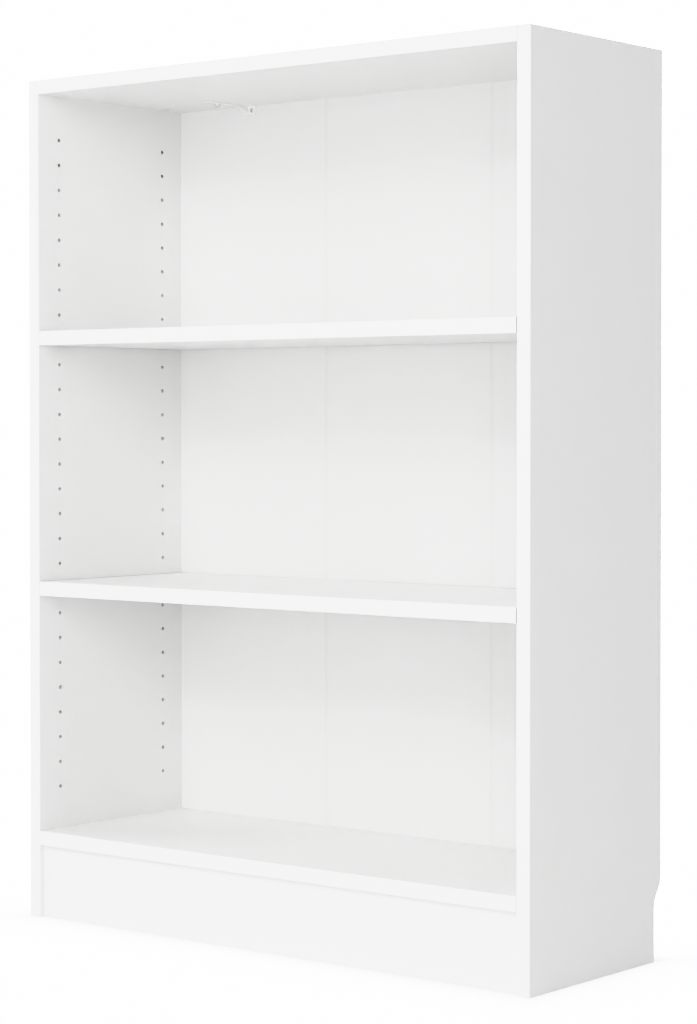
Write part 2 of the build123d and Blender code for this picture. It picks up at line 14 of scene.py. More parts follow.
import bmesh
import bpy
from mathutils import Matrix, Vector


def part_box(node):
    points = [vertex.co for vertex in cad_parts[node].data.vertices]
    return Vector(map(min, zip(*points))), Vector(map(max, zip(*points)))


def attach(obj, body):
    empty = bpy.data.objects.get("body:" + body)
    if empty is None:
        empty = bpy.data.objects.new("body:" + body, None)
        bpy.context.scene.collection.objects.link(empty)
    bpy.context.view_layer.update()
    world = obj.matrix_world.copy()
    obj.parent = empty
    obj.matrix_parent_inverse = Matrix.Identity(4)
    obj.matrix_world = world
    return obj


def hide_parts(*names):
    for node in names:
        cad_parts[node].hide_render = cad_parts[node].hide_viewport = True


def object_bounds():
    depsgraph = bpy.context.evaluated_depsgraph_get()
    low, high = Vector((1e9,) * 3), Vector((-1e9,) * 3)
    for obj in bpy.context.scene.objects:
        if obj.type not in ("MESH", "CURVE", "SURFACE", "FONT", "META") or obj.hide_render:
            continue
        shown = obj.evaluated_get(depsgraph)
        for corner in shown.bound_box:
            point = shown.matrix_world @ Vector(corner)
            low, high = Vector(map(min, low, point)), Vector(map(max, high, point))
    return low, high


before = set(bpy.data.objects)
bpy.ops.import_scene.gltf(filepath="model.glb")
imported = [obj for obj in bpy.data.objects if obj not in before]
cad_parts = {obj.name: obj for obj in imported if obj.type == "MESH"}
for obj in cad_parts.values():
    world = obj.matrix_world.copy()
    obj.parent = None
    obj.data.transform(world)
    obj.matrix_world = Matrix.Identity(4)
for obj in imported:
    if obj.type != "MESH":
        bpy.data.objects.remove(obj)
CAD_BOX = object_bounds()

MM = 0.001
TURN = 2 * math.pi
SEED = 11
LOG = logging.getLogger("bookcase")

Colour = tuple[float, float, float]
Box = tuple[Vector, Vector]


class Slot(Enum):
    """Material slots of the record."""

    FOIL = "white_foil"
    EDGING = "white_edging"
    BACK = "back_board"
    FOLD = "fold_strip"
    PLASTIC = "fitting_plastic"
    ZINC = "cam_zinc"
    PLATED = "plated_steel"
    NAIL = "nail_steel"
    BEECH = "beech"
    ENAMEL = "white_enamel"


class Axis(Enum):
    """Axes by their place in a vector."""

    X = 0
    Y = 1
    Z = 2


# ---- Node trees ----------------------------------------------------------------------------
class Graph:
    """A node tree that is filled node by node."""

    def __init__(self, tree: bpy.types.NodeTree) -> None:
        """Keeps the tree to fill."""
        self.tree = tree

    def node(
        self, kind: str, settings: dict[str, Any] | None = None, inputs: dict[str, Any] | None = None
    ) -> bpy.types.Node:
        """Adds one node: its settings first, then the values and links of its sockets.

        Args:
            kind: Type name of the node.
            settings: Properties by name.
            inputs: Values, sockets or signals by socket name or identifier.

        Returns:
            The new node.
        """
        made = self.tree.nodes.new(kind)
        for name, value in (settings or {}).items():
            setattr(made, name, value)
        for key, value in (inputs or {}).items():
            self.plug(made, key, value)
        return made

    def plug(self, node: bpy.types.Node, key: str, value: Any) -> None:
        """Sets or links one socket of a node.

        Args:
            node: Node that owns the socket.
            key: Name or identifier of the socket.
            value: Number, vector, colour, data-block, socket or signal.
        """
        socket = next(s for s in node.inputs if s.enabled and key in (s.identifier, s.name))
        source = value.socket if isinstance(value, Signal) else value
        if isinstance(source, bpy.types.NodeSocket):
            self.tree.links.new(source, socket)
        elif socket.type == "RGBA":
            socket.default_value = (*source, 1.0)
        else:
            socket.default_value = source


class Signal:
    """A number on a node's socket; arithmetic on it adds Math nodes."""

    def __init__(self, graph: Graph, socket: bpy.types.NodeSocket) -> None:
        """Keeps the socket and the graph that it belongs to."""
        self.graph = graph
        self.socket = socket

    def _math(self, operation: str, *operands: "Signal | float", clamp: bool = False) -> "Signal":
        """Adds one Math node.

        Args:
            operation: The node's operation.
            operands: Its inputs in order.
            clamp: Whether the result is kept from 0 to 1.

        Returns:
            The node's result.
        """
        node = self.graph.node("ShaderNodeMath", {"operation": operation, "use_clamp": clamp})
        for socket, operand in zip(node.inputs, operands):
            self.graph.plug(node, socket.identifier, operand)
        return Signal(self.graph, node.outputs[0])

    def __add__(self, other: "Signal | float") -> "Signal":
        """The sum."""
        return self._math("ADD", self, other)

    def __radd__(self, other: float) -> "Signal":
        """The sum, with the number first."""
        return self._math("ADD", other, self)

    def __sub__(self, other: "Signal | float") -> "Signal":
        """The difference."""
        return self._math("SUBTRACT", self, other)

    def __rsub__(self, other: float) -> "Signal":
        """The difference, with the number first."""
        return self._math("SUBTRACT", other, self)

    def __mul__(self, other: "Signal | float") -> "Signal":
        """The product."""
        return self._math("MULTIPLY", self, other)

    def __rmul__(self, other: float) -> "Signal":
        """The product, with the number first."""
        return self._math("MULTIPLY", other, self)

    def __abs__(self) -> "Signal":
        """The value without its sign."""
        return self._math("ABSOLUTE", self)

    def larger(self, other: "Signal") -> "Signal":
        """The larger of two values."""
        return self._math("MAXIMUM", self, other)

    def above(self, edge: float, blur: float) -> "Signal":
        """A mask that turns from 0 to 1 at an edge.

        Args:
            edge: Value where the mask is a half.
            blur: Width of the change.

        Returns:
            The mask.
        """
        return self._math("MULTIPLY_ADD", self, 1 / blur, 0.5 - edge / blur, clamp=True)

    def wave(self, period: float) -> "Signal":
        """A sine of the value, from -1 to 1."""
        return self._math("SINE", self * (TURN / period))


class Shader(Graph):
    """A node material whose patterns follow Object coordinates."""

    def __init__(self, name: str) -> None:
        """Starts an empty material.

        Args:
            name: Name of the material.
        """
        self.material = bpy.data.materials.new(name)
        self.material.use_nodes = True
        super().__init__(self.material.node_tree)
        self.tree.nodes.clear()
        self.place = self.node("ShaderNodeTexCoord").outputs["Object"]

    def along(self, axis: Axis) -> Signal:
        """The object coordinate along one axis."""
        split = self.node("ShaderNodeSeparateXYZ", inputs={"Vector": self.place})
        return Signal(self, split.outputs[axis.value])

    def scaled(self, size: float, stretch: Colour) -> bpy.types.NodeSocket:
        """Coordinates for a pattern.

        Args:
            size: Width of its features.
            stretch: How many times longer they are along each axis.

        Returns:
            The scaled coordinates.
        """
        scale = tuple(1 / (size * longer) for longer in stretch)
        return self.node("ShaderNodeMapping", inputs={"Vector": self.place, "Scale": scale}).outputs[0]

    def noise(self, size: float, detail: float = 2.0, stretch: Colour = (1, 1, 1)) -> Signal:
        """Soft noise from 0 to 1.

        Args:
            size: Width of its features.
            detail: How many finer layers it has.
            stretch: How many times longer the features are along each axis.

        Returns:
            The noise.
        """
        where = self.scaled(size, stretch)
        cloud = self.node("ShaderNodeTexNoise", inputs={"Vector": where, "Scale": 1.0, "Detail": detail})
        return Signal(self, cloud.outputs[0])

    def chips(self, size: float, stretch: Colour = (1, 1, 1)) -> Signal:
        """A random number from 0 to 1 for each of many irregular cells.

        Args:
            size: Width of a cell.
            stretch: How many times longer the cells are along each axis.

        Returns:
            The number of the cell.
        """
        where = self.scaled(size, stretch)
        cells = self.node("ShaderNodeTexVoronoi", inputs={"Vector": where, "Scale": 1.0})
        split = self.node("ShaderNodeSeparateColor", inputs={"Color": cells.outputs["Color"]})
        return Signal(self, split.outputs[0])

    def mixed(self, amount: Signal, first: Any, second: Any) -> bpy.types.NodeSocket:
        """A colour between two others.

        Args:
            amount: 0 for the first colour, 1 for the second.
            first: Colour or colour socket.
            second: Colour or colour socket.

        Returns:
            The mixed colour.
        """
        colours = {"Factor_Float": amount, "A_Color": first, "B_Color": second}
        node = self.node("ShaderNodeMix", {"data_type": "RGBA"}, colours)
        return next(s for s in node.outputs if s.identifier == "Result_Color")

    def bump(self, height: Signal, rise: float) -> bpy.types.NodeSocket:
        """A normal that follows a height.

        Args:
            height: Height from 0 to 1.
            rise: What a height of 1 is worth.

        Returns:
            The normal.
        """
        relief = {"Strength": 1.0, "Distance": rise, "Height": height}
        return self.node("ShaderNodeBump", inputs=relief).outputs["Normal"]

    def close(self, inputs: dict[str, Any]) -> bpy.types.Material:
        """Ends the material in one Principled shader.

        Args:
            inputs: Values and links of the shader's sockets.

        Returns:
            The material.
        """
        surface = self.node("ShaderNodeBsdfPrincipled", inputs=inputs)
        self.node("ShaderNodeOutputMaterial", inputs={"Surface": surface.outputs[0]})
        return self.material


class Shaping(Graph):
    """A geometry tree with named inputs, used on one mesh and then taken off."""

    def __init__(self, name: str) -> None:
        """Starts a tree with one geometry in and one out.

        Args:
            name: Name of the tree.
        """
        super().__init__(bpy.data.node_groups.new(name, "GeometryNodeTree"))
        self.values: dict[str, Any] = {}
        self.tree.interface.new_socket("Geometry", in_out="INPUT", socket_type="NodeSocketGeometry")
        self.tree.interface.new_socket("Geometry", in_out="OUTPUT", socket_type="NodeSocketGeometry")
        self.entry = self.tree.nodes.new("NodeGroupInput")
        self.geometry = self.entry.outputs[0]

    def given(self, name: str, kind: str, value: Any) -> bpy.types.NodeSocket:
        """Adds a named input and remembers the value that it is used with.

        Args:
            name: Name of the input.
            kind: Its socket type without the leading NodeSocket.
            value: Its value on the modifier.

        Returns:
            The socket that gives the value inside the tree.
        """
        item = self.tree.interface.new_socket(name, in_out="INPUT", socket_type=f"NodeSocket{kind}")
        self.values[item.identifier] = value
        return next(s for s in self.entry.outputs if s.identifier == item.identifier)

    def close(self, shape: bpy.types.NodeSocket, material: bpy.types.Material) -> None:
        """Ends the tree in real geometry with a material.

        Args:
            shape: Geometry, which may hold instances.
            material: Material of all of it.
        """
        real = self.node("GeometryNodeRealizeInstances", inputs={"Geometry": shape})
        finish = self.given("Finish", "Material", material)
        coat = {"Geometry": real.outputs[0], "Material": finish}
        painted = self.node("GeometryNodeSetMaterial", inputs=coat)
        self.node("NodeGroupOutput", inputs={"Geometry": painted.outputs[0]})

    def bake(self, start: bpy.types.Mesh) -> bpy.types.Mesh:
        """Runs the tree on a mesh.

        Args:
            start: Mesh that the tree begins with.

        Returns:
            The result as a plain mesh with its faces outwards.
        """
        carrier = bpy.data.objects.new(self.tree.name, start)
        bpy.context.scene.collection.objects.link(carrier)
        modifier = carrier.modifiers.new(self.tree.name, "NODES")
        modifier.node_group = self.tree
        for identifier, value in self.values.items():
            modifier[identifier] = value
        made = baked(carrier)
        bpy.data.objects.remove(carrier)
        return outwards(made)


# ---- Meshes --------------------------------------------------------------------------------
def baked(carrier: bpy.types.Object) -> bpy.types.Mesh:
    """A plain mesh of an object as its modifiers leave it.

    Args:
        carrier: Object with modifiers, linked to the scene.

    Returns:
        The mesh, on its own.
    """
    bpy.context.view_layer.update()
    seen = bpy.context.evaluated_depsgraph_get()
    return bpy.data.meshes.new_from_object(carrier.evaluated_get(seen))


def outwards(mesh: bpy.types.Mesh) -> bpy.types.Mesh:
    """Merges what lies together and turns every face outwards.

    Args:
        mesh: Closed mesh, changed in place.

    Returns:
        The same mesh.
    """
    work = bmesh.new()
    work.from_mesh(mesh)
    bmesh.ops.remove_doubles(work, verts=work.verts, dist=1e-7)
    bmesh.ops.recalc_face_normals(work, faces=work.faces)
    work.to_mesh(mesh)
    work.free()
    return mesh


def shaped(name: str, fill: Callable[[bmesh.types.BMesh], None]) -> bpy.types.Mesh:
    """A mesh made in one go.

    Args:
        name: Name of the mesh.
        fill: Function that adds the geometry.

    Returns:
        The mesh with its faces outwards.
    """
    work = bmesh.new()
    fill(work)
    bmesh.ops.remove_doubles(work, verts=work.verts, dist=1e-7)
    bmesh.ops.recalc_face_normals(work, faces=work.faces)
    mesh = bpy.data.meshes.new(name)
    work.to_mesh(mesh)
    work.free()
    return mesh


def joined(meshes: Iterable[bpy.types.Mesh]) -> bpy.types.Mesh:
    """Several closed meshes as one, with nothing merged between them.

    Args:
        meshes: The meshes.

    Returns:
        The joined mesh.
    """
    work = bmesh.new()
    for mesh in meshes:
        work.from_mesh(mesh)
    whole = bpy.data.meshes.new("joined")
    work.to_mesh(whole)
    work.free()
    return whole


def solids_of(node: str) -> list[Box]:
    """The box of each separate solid of a CAD node.

    Args:
        node: Name of the node.

    Returns:
        Lowest and highest corner of each solid, in order of place.
    """
    work = bmesh.new()
    work.from_mesh(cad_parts[node].data)
    bmesh.ops.remove_doubles(work, verts=work.verts, dist=1e-6)
    waiting = set(work.verts)
    boxes = []
    while waiting:
        island, edge_of_island = [], [waiting.pop()]
        while edge_of_island:
            point = edge_of_island.pop()
            island.append(point.co.copy())
            near = {edge.other_vert(point) for edge in point.link_edges} & waiting
            waiting -= near
            edge_of_island += near
        low = Vector(min(co[i] for co in island) for i in range(3))
        high = Vector(max(co[i] for co in island) for i in range(3))
        boxes.append((low, high))
    work.free()
    return sorted(boxes, key=lambda box: tuple(round(q, 5) for q in box[0]))


def middle(box: Box) -> Vector:
    """Centre of a box."""
    return (box[0] + box[1]) / 2


def add_piece(
    name: str, mesh: bpy.types.Mesh, material: bpy.types.Material, body: str, slot: Slot, *nodes: str
) -> bpy.types.Object:
    """Puts a finished mesh into the scene as a piece of the bookcase.

    Args:
        name: Name of the piece.
        mesh: Mesh in the model's frame.
        material: Its finish.
        body: Body that it rides on.
        slot: The record's slot of that finish; not used.
        nodes: CAD nodes that it stands for.

    Returns:
        The new object.
    """
    mesh.name = name
    mesh.materials.clear()
    mesh.materials.append(material)
    mesh.shade_smooth()
    mesh.set_sharp_from_angle(angle=math.radians(32))
    piece = bpy.data.objects.new(name, mesh)
    bpy.context.scene.collection.objects.link(piece)
    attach(piece, body)
    if nodes:
        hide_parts(*nodes)
    LOG.info("%s: %d faces, rides on %s", name, len(mesh.polygons), body)
    return piece


def dress(node: str, material: bpy.types.Material) -> None:
    """Gives a CAD node that stays in view its finish.

    Args:
        node: Name of the node.
        material: The finish.
    """
    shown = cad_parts[node]
    if not shown.material_slots:
        shown.data.materials.append(material)
    for place in shown.material_slots:
        place.material = material
    LOG.info("%s: dressed in %s", node, material.name)


# ---- Finishes ------------------------------------------------------------------------------
@dataclass(frozen=True)
class Finish:
    """An even finish with a slight mottle and a fine raised texture.

    Attributes:
        name: Name of the material.
        colour: Its mean colour.
        roughness: Its mean roughness.
        metallic: 1 for bare metal.
        coat: Weight of a clear coat.
        mottle: Share by which the colour varies.
        mottle_size: Width of the lighter and darker spots.
        uneven: How far the roughness varies.
        grain_size: Width of the raised grain.
        grain_rise: Height of the raised grain.
    """

    name: str
    colour: Colour
    roughness: float = 0.45
    metallic: float = 0.0
    coat: float = 0.0
    mottle: float = 0.008
    mottle_size: float = 60 * MM
    uneven: float = 0.05
    grain_size: float = 0.7 * MM
    grain_rise: float = 0.004 * MM

    def material(self) -> bpy.types.Material:
        """Builds the material."""
        shader = Shader(self.name)
        return shader.close({
            "Base Color": self.paint(shader),
            "Roughness": self.gloss(shader),
            "Metallic": self.metallic,
            "Coat Weight": self.coat,
            "Normal": self.relief(shader),
        })

    def toned(self, colour: Colour, share: float) -> Colour:
        """A colour made lighter by a share, or darker by a negative one."""
        return tuple(min(1.0, part * (1 + share)) for part in colour)

    def varied(self, shader: Shader, colour: Colour) -> bpy.types.NodeSocket:
        """A colour with the finish's mottle.

        Args:
            shader: Material that is being built.
            colour: The mean colour.

        Returns:
            The varied colour.
        """
        spots = shader.noise(self.mottle_size, 4.0)
        return shader.mixed(spots, self.toned(colour, -self.mottle), self.toned(colour, self.mottle))

    def paint(self, shader: Shader) -> bpy.types.NodeSocket:
        """The colour over the surface."""
        return self.varied(shader, self.colour)

    def gloss(self, shader: Shader) -> Signal:
        """The roughness over the surface."""
        spots = shader.noise(self.mottle_size / 7, 3.0)
        return (spots - 0.5) * (2 * self.uneven) + self.roughness

    def relief(self, shader: Shader) -> bpy.types.NodeSocket:
        """The normal over the surface."""
        return shader.bump(shader.noise(self.grain_size), self.grain_rise)


@dataclass(frozen=True)
class FacedBoard(Finish):
    """Particleboard with foil on both faces and bare chips between them.

    Attributes:
        across: Axis of the board's thickness.
        centre: Middle of the board.
        half: Half its size along each axis.
        chip_light: Colour of the palest chips.
        chip_dark: Colour of the darkest chips.
        painted_bore_light: Pale colour painted on the walls of the bores, as painted light that makes the
            holes look less shaded than bare chips would.
        foil_depth: How far in from a face the bare chips begin.
        bore_margin: How far in from the board's long edges the painted light on the walls of bores begins.
        end_margin: How far in from its ends that painted light begins. The two top rows of pin holes in the
        sides lie nearer to the end than this, so their walls show bare chips.
    """

    across: Axis = Axis.Z
    centre: Colour = (0.0, 0.0, 0.0)
    half: Colour = (0.0, 0.0, 0.0)
    chip_light: Colour = (0.66, 0.58, 0.47)
    chip_dark: Colour = (0.40, 0.32, 0.23)
    painted_bore_light: Colour = (0.84, 0.83, 0.81)
    foil_depth: float = 0.12 * MM
    bore_margin: float = 30 * MM
    end_margin: float = 120 * MM

    @classmethod
    def of(cls, node: str, **changes: Any) -> "FacedBoard":
        """The finish of one board, which finds its faces from its thinnest direction.

        Args:
            node: CAD node of the board.
            changes: Other attributes.

        Returns:
            The finish.
        """
        low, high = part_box(node)
        across = min(Axis, key=lambda axis: high[axis.value] - low[axis.value])
        centre = tuple((a + b) / 2 for a, b in zip(low, high))
        half = tuple((b - a) / 2 for a, b in zip(low, high))
        return cls(name=f"{node}_faced_board", across=across, centre=centre, half=half, **changes)

    def depth(self, shader: Shader, axis: Axis) -> Signal:
        """How far a point lies inside the board's two outer planes along one axis."""
        return self.half[axis.value] - abs(shader.along(axis) - self.centre[axis.value])

    def core(self, shader: Shader) -> Signal:
        """1 on the bare chips and 0 on the foil."""
        return self.depth(shader, self.across).above(self.foil_depth, 0.08 * MM)

    def painted_light_in_bores(self, shader: Shader) -> Signal:
        """1 far enough in from the board's edges and ends for the walls of bores to get the painted light."""
        along_faces = [axis for axis in Axis if axis is not self.across]
        narrow, long = sorted(along_faces, key=lambda axis: self.half[axis.value])
        inside = self.depth(shader, narrow).above(self.bore_margin, 1 * MM)
        return inside * self.depth(shader, long).above(self.end_margin, 1 * MM)

    def paint(self, shader: Shader) -> bpy.types.NodeSocket:
        """Foil colour on the faces, chips between them, and painted light in the bores: a pale colour on
        their walls.
        """
        long_way = tuple(0.45 if axis is self.across else 1.6 for axis in Axis)
        fine = shader.chips(1.3 * MM, long_way) * 0.6 + shader.noise(0.5 * MM) * 0.4
        wood = shader.mixed(fine, self.chip_dark, self.chip_light)
        # Painted light: the walls of the bores are painted a pale colour so the holes look less shaded.
        wood = shader.mixed(self.painted_light_in_bores(shader), wood, self.painted_bore_light)
        return shader.mixed(self.core(shader), self.varied(shader, self.colour), wood)

    def gloss(self, shader: Shader) -> Signal:
        """Satin foil and dull chips."""
        foil = super().gloss(shader)
        return foil + self.core(shader) * (0.88 - self.roughness)

    def relief(self, shader: Shader) -> bpy.types.NodeSocket:
        """Fine emboss on the foil and coarse chips in the core."""
        emboss = shader.noise(self.grain_size) * (self.grain_rise / (0.12 * MM))
        rough = shader.chips(1.3 * MM) * self.core(shader)
        return shader.bump(emboss + rough, 0.12 * MM)


@dataclass(frozen=True)
class BackBoard(Finish):
    """Thin fibreboard, lacquered white in front and bare behind, with the print of the press screen.

    Attributes:
        front: Where the lacquered face lies, along Y.
        fibre_light: Colour of the palest fibres.
        fibre_dark: Colour of the darkest fibres.
        mesh_pitch: Spacing of the wires of the press screen.
    """

    front: float = 0.0
    fibre_light: Colour = (0.36, 0.235, 0.135)
    fibre_dark: Colour = (0.21, 0.125, 0.065)
    mesh_pitch: float = 1.8 * MM

    def bare(self, shader: Shader) -> Signal:
        """1 on the bare board and 0 on the lacquer."""
        return (shader.along(Axis.Y) - self.front).above(0.15 * MM, 0.08 * MM)

    def screen(self, shader: Shader) -> Signal:
        """Height of the screen print, from 0 to 1."""
        wires = shader.along(Axis.X).wave(self.mesh_pitch) * shader.along(Axis.Z).wave(self.mesh_pitch)
        return wires * 0.5 + 0.5

    def paint(self, shader: Shader) -> bpy.types.NodeSocket:
        """Lacquer in front and fibres behind."""
        fibres = shader.noise(5 * MM, 6.0, (1.6, 1.0, 1.0)) * 0.75 + self.screen(shader) * 0.25
        brown = shader.mixed(fibres, self.fibre_dark, self.fibre_light)
        return shader.mixed(self.bare(shader), self.varied(shader, self.colour), brown)

    def gloss(self, shader: Shader) -> Signal:
        """Satin lacquer and dull fibres."""
        return super().gloss(shader) + self.bare(shader) * (0.85 - self.roughness)

    def relief(self, shader: Shader) -> bpy.types.NodeSocket:
        """A slight ripple in the lacquer and the screen print behind."""
        ripple = shader.noise(self.grain_size) * (self.grain_rise / (0.1 * MM))
        return shader.bump(ripple + self.screen(shader) * self.bare(shader), 0.1 * MM)


@dataclass(frozen=True)
class Timber(Finish):
    """Hardwood with grain along X and short dark pores.

    Attributes:
        pore_colour: Colour of the pores.
    """

    pore_colour: Colour = (0.30, 0.17, 0.08)

    def paint(self, shader: Shader) -> bpy.types.NodeSocket:
        """Streaks along the grain, with pores."""
        streaks = shader.noise(0.9 * MM, 4.0, (14, 1, 1))
        wood = shader.mixed(streaks, self.toned(self.colour, -0.22), self.toned(self.colour, 0.14))
        pores = shader.chips(0.35 * MM, (6, 1, 1)).above(0.93, 0.03)
        return shader.mixed(pores, wood, self.pore_colour)

    def relief(self, shader: Shader) -> bpy.types.NodeSocket:
        """Shallow grain along X."""
        return shader.bump(shader.noise(0.4 * MM, 3.0, (14, 1, 1)), 0.05 * MM)


@dataclass(frozen=True)
class WornMetal(Finish):
    """Metal with fine drawing lines or cast grain and dulled patches.

    Attributes:
        drawn: How many times longer the grain is along each axis.
    """

    drawn: Colour = (1, 1, 1)

    def gloss(self, shader: Shader) -> Signal:
        """Dull patches over a fine grain."""
        patches = shader.noise(self.mottle_size, 3.0) - 0.5
        lines = shader.noise(self.grain_size, 2.0, self.drawn) - 0.5
        return (patches + lines) * (2 * self.uneven) + self.roughness

    def relief(self, shader: Shader) -> bpy.types.NodeSocket:
        """Lines or grain of the metal's surface."""
        return shader.bump(shader.noise(self.grain_size, 2.0, self.drawn), self.grain_rise)


WHITE = (0.87, 0.87, 0.868)
EDGE_WHITE = (0.89, 0.89, 0.888)
BACK_WHITE = (0.86, 0.86, 0.858)


class Palette:
    """Every material of the bookcase, built once."""

    def __init__(self) -> None:
        """Builds the materials that do not depend on one board."""
        leaf_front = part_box("back_panel_middle")[0][Axis.Y.value]
        self.edging = Finish(
            "edge_band", EDGE_WHITE, 0.34, mottle_size=35 * MM, grain_rise=0.002 * MM
        ).material()
        self.back = BackBoard("back_board", BACK_WHITE, 0.5, front=leaf_front).material()
        self.rim = Finish("foil_rim", WHITE, 0.5, mottle_size=4 * MM).material()
        self.fold = Finish("fold_strip", (0.84, 0.84, 0.835), 0.42, mottle_size=25 * MM).material()
        self.plastic = Finish(
            "moulded_plastic", (0.86, 0.86, 0.85), 0.38, mottle_size=9 * MM, grain_size=0.25 * MM
        ).material()
        self.enamel = Finish(
            "powder_coat", (0.93, 0.93, 0.925), 0.3, coat=0.25, grain_size=1.1 * MM, grain_rise=0.012 * MM
        ).material()
        self.zinc = WornMetal(
            "cast_zinc", (0.62, 0.62, 0.625), 0.46, 1.0, mottle=0.05, mottle_size=3 * MM, uneven=0.1,
            grain_size=0.3 * MM, grain_rise=0.02 * MM,
        ).material()
        self.plated = WornMetal(
            "zinc_plate", (0.72, 0.725, 0.73), 0.27, 1.0, mottle=0.03, mottle_size=4 * MM, uneven=0.07,
            grain_size=0.2 * MM, grain_rise=0.004 * MM, drawn=(8, 1, 1),
        ).material()
        self.nail = WornMetal(
            "drawn_steel", (0.45, 0.45, 0.46), 0.38, 1.0, mottle=0.06, mottle_size=1.5 * MM, uneven=0.09,
            grain_size=0.15 * MM, grain_rise=0.006 * MM, drawn=(1, 10, 1),
        ).material()
        self.beech = Timber("beech", (0.60, 0.41, 0.235), 0.62, mottle_size=8 * MM).material()

    @staticmethod
    def board(node: str) -> bpy.types.Material:
        """The faced board of one CAD node."""
        return FacedBoard.of(node, colour=WHITE, roughness=0.46).material()


# ---- Shapes of the small parts -------------------------------------------------------------
@dataclass(frozen=True)
class Turned:
    """A turned part about +Z, closed at both ends.

    Attributes:
        profile: Height and radius of each ring, from the bottom up.
        sides: Faces round the axis.
        flutes: How many grooves run along it.
        flute_depth: Depth of those grooves.
    """

    profile: Sequence[tuple[float, float]]
    sides: int = 32
    flutes: int = 0
    flute_depth: float = 0.0

    def radius(self, base: float, angle: float) -> float:
        """Radius at an angle, less the groove there."""
        return base - self.flute_depth * (0.5 + 0.5 * math.cos(self.flutes * angle)) ** 3

    def mesh(self) -> bpy.types.Mesh:
        """Builds the mesh."""
        return shaped("turned", self.fill)

    def fill(self, work: bmesh.types.BMesh) -> None:
        """Adds the rings, the faces between them and the two ends.

        Args:
            work: Mesh to add to.
        """
        rings = []
        for height, base in self.profile:
            ring = []
            for step in range(self.sides):
                angle = TURN * step / self.sides
                reach = self.radius(base, angle) if self.flutes else base
                ring.append(work.verts.new((reach * math.cos(angle), reach * math.sin(angle), height)))
            rings.append(ring)
        for low, high in zip(rings, rings[1:]):
            for step in range(self.sides):
                after = (step + 1) % self.sides
                work.faces.new((low[step], low[after], high[after], high[step]))
        work.faces.new(rings[0])
        work.faces.new(rings[-1])


def arc(start: tuple[float, float], end: tuple[float, float], steps: int) -> list[tuple[float, float]]:
    """Points of a quarter round between two corners of a profile, both included.

    The radius changes first and the height after it.

    Args:
        start: Height and radius where the round begins.
        end: Height and radius where it ends.
        steps: Spans of the round.

    Returns:
        Heights and radii.
    """
    points = []
    for step in range(steps + 1):
        angle = math.pi / 2 * step / steps
        up, out = 1 - math.cos(angle), math.sin(angle)
        points.append((start[0] + (end[0] - start[0]) * up, start[1] + (end[1] - start[1]) * out))
    return points


def less(mesh: bpy.types.Mesh, cutter: bpy.types.Mesh) -> bpy.types.Mesh:
    """One mesh cut away from another.

    Args:
        mesh: What is cut.
        cutter: What is taken away.

    Returns:
        What is left.
    """
    body = bpy.data.objects.new("body_to_cut", mesh)
    tool = bpy.data.objects.new("cutter", cutter)
    for item in (body, tool):
        bpy.context.scene.collection.objects.link(item)
    cut = body.modifiers.new("cut", "BOOLEAN")
    cut.operation = "DIFFERENCE"
    cut.solver = "EXACT"
    cut.object = tool
    left = baked(body)
    for item in (body, tool):
        bpy.data.objects.remove(item)
    return outwards(left)


@dataclass(frozen=True)
class CrossRecess:
    """Tapered cross recess for a screwdriver, cut upwards from a height.

    Attributes:
        length: Over two opposite arms, at the mouth.
        width: Of one arm.
        depth: Of the recess.
        mouth: Height of its mouth.
        taper: Share of the size that is left at the bottom.
    """

    length: float
    width: float
    depth: float
    mouth: float
    taper: float = 0.55

    def fill(self, work: bmesh.types.BMesh) -> None:
        """Adds the outline of the cross at the mouth and at the bottom, and the faces between.

        Args:
            work: Mesh to add to.
        """
        far, near = self.length / 2, self.width / 2
        rings = []
        for height, share in ((self.mouth - self.depth, 1.25), (self.mouth + self.depth, self.taper)):
            ring = []
            for quarter in range(4):
                turn = Matrix.Rotation(TURN * quarter / 4, 4, "Z")
                corners = ((near, -near), (far * share, -near), (far * share, near))
                ring += [work.verts.new(turn @ Vector((x, y, height))) for x, y in corners]
            rings.append(ring)
        low, high = rings
        for step in range(len(low)):
            after = (step + 1) % len(low)
            work.faces.new((low[step], low[after], high[after], high[step]))
        work.faces.new(low)
        work.faces.new(high)

    def mesh(self) -> bpy.types.Mesh:
        """Builds the cutter."""
        return shaped("cross_recess", self.fill)


@dataclass(frozen=True)
class Thread:
    """A screw thread wound round a turned part by a geometry tree.

    Attributes:
        radius: Of the thread's middle line.
        pitch: Rise of one turn.
        start: Height where it begins.
        length: Along the axis.
        ridge: Radius of the ridge's three-sided section.
    """

    radius: float
    pitch: float
    start: float
    length: float
    ridge: float

    def on(self, shank: bpy.types.Mesh, material: bpy.types.Material) -> bpy.types.Mesh:
        """Winds the thread round a part.

        Args:
            shank: The turned part.
            material: Finish of both.

        Returns:
            Part and thread in one mesh.
        """
        shaping = Shaping("screw_thread")
        radius = shaping.given("Radius", "Float", self.radius)
        turns = shaping.given("Turns", "Float", self.length / self.pitch)
        length = shaping.given("Length", "Float", self.length)
        start = shaping.given("Start", "Float", self.start)
        ridge = shaping.given("Ridge", "Float", self.ridge)
        spiral = shaping.node("GeometryNodeCurveSpiral", inputs={
            "Resolution": 20, "Rotations": turns, "Start Radius": radius, "End Radius": radius,
            "Height": length,
        })
        section = shaping.node("GeometryNodeCurvePrimitiveCircle", inputs={"Resolution": 3, "Radius": ridge})
        sweep = {"Curve": spiral.outputs[0], "Profile Curve": section.outputs[0], "Fill Caps": True}
        wound = shaping.node("GeometryNodeCurveToMesh", inputs=sweep)
        lift = shaping.node("ShaderNodeCombineXYZ", inputs={"Z": start})
        place = {"Geometry": wound.outputs[0], "Translation": lift.outputs[0]}
        lifted = shaping.node("GeometryNodeTransform", inputs=place)
        both = shaping.node("GeometryNodeJoinGeometry", inputs={"Geometry": shaping.geometry})
        shaping.plug(both, "Geometry", lifted.outputs[0])
        shaping.close(both.outputs[0], material)
        return shaping.bake(shank)


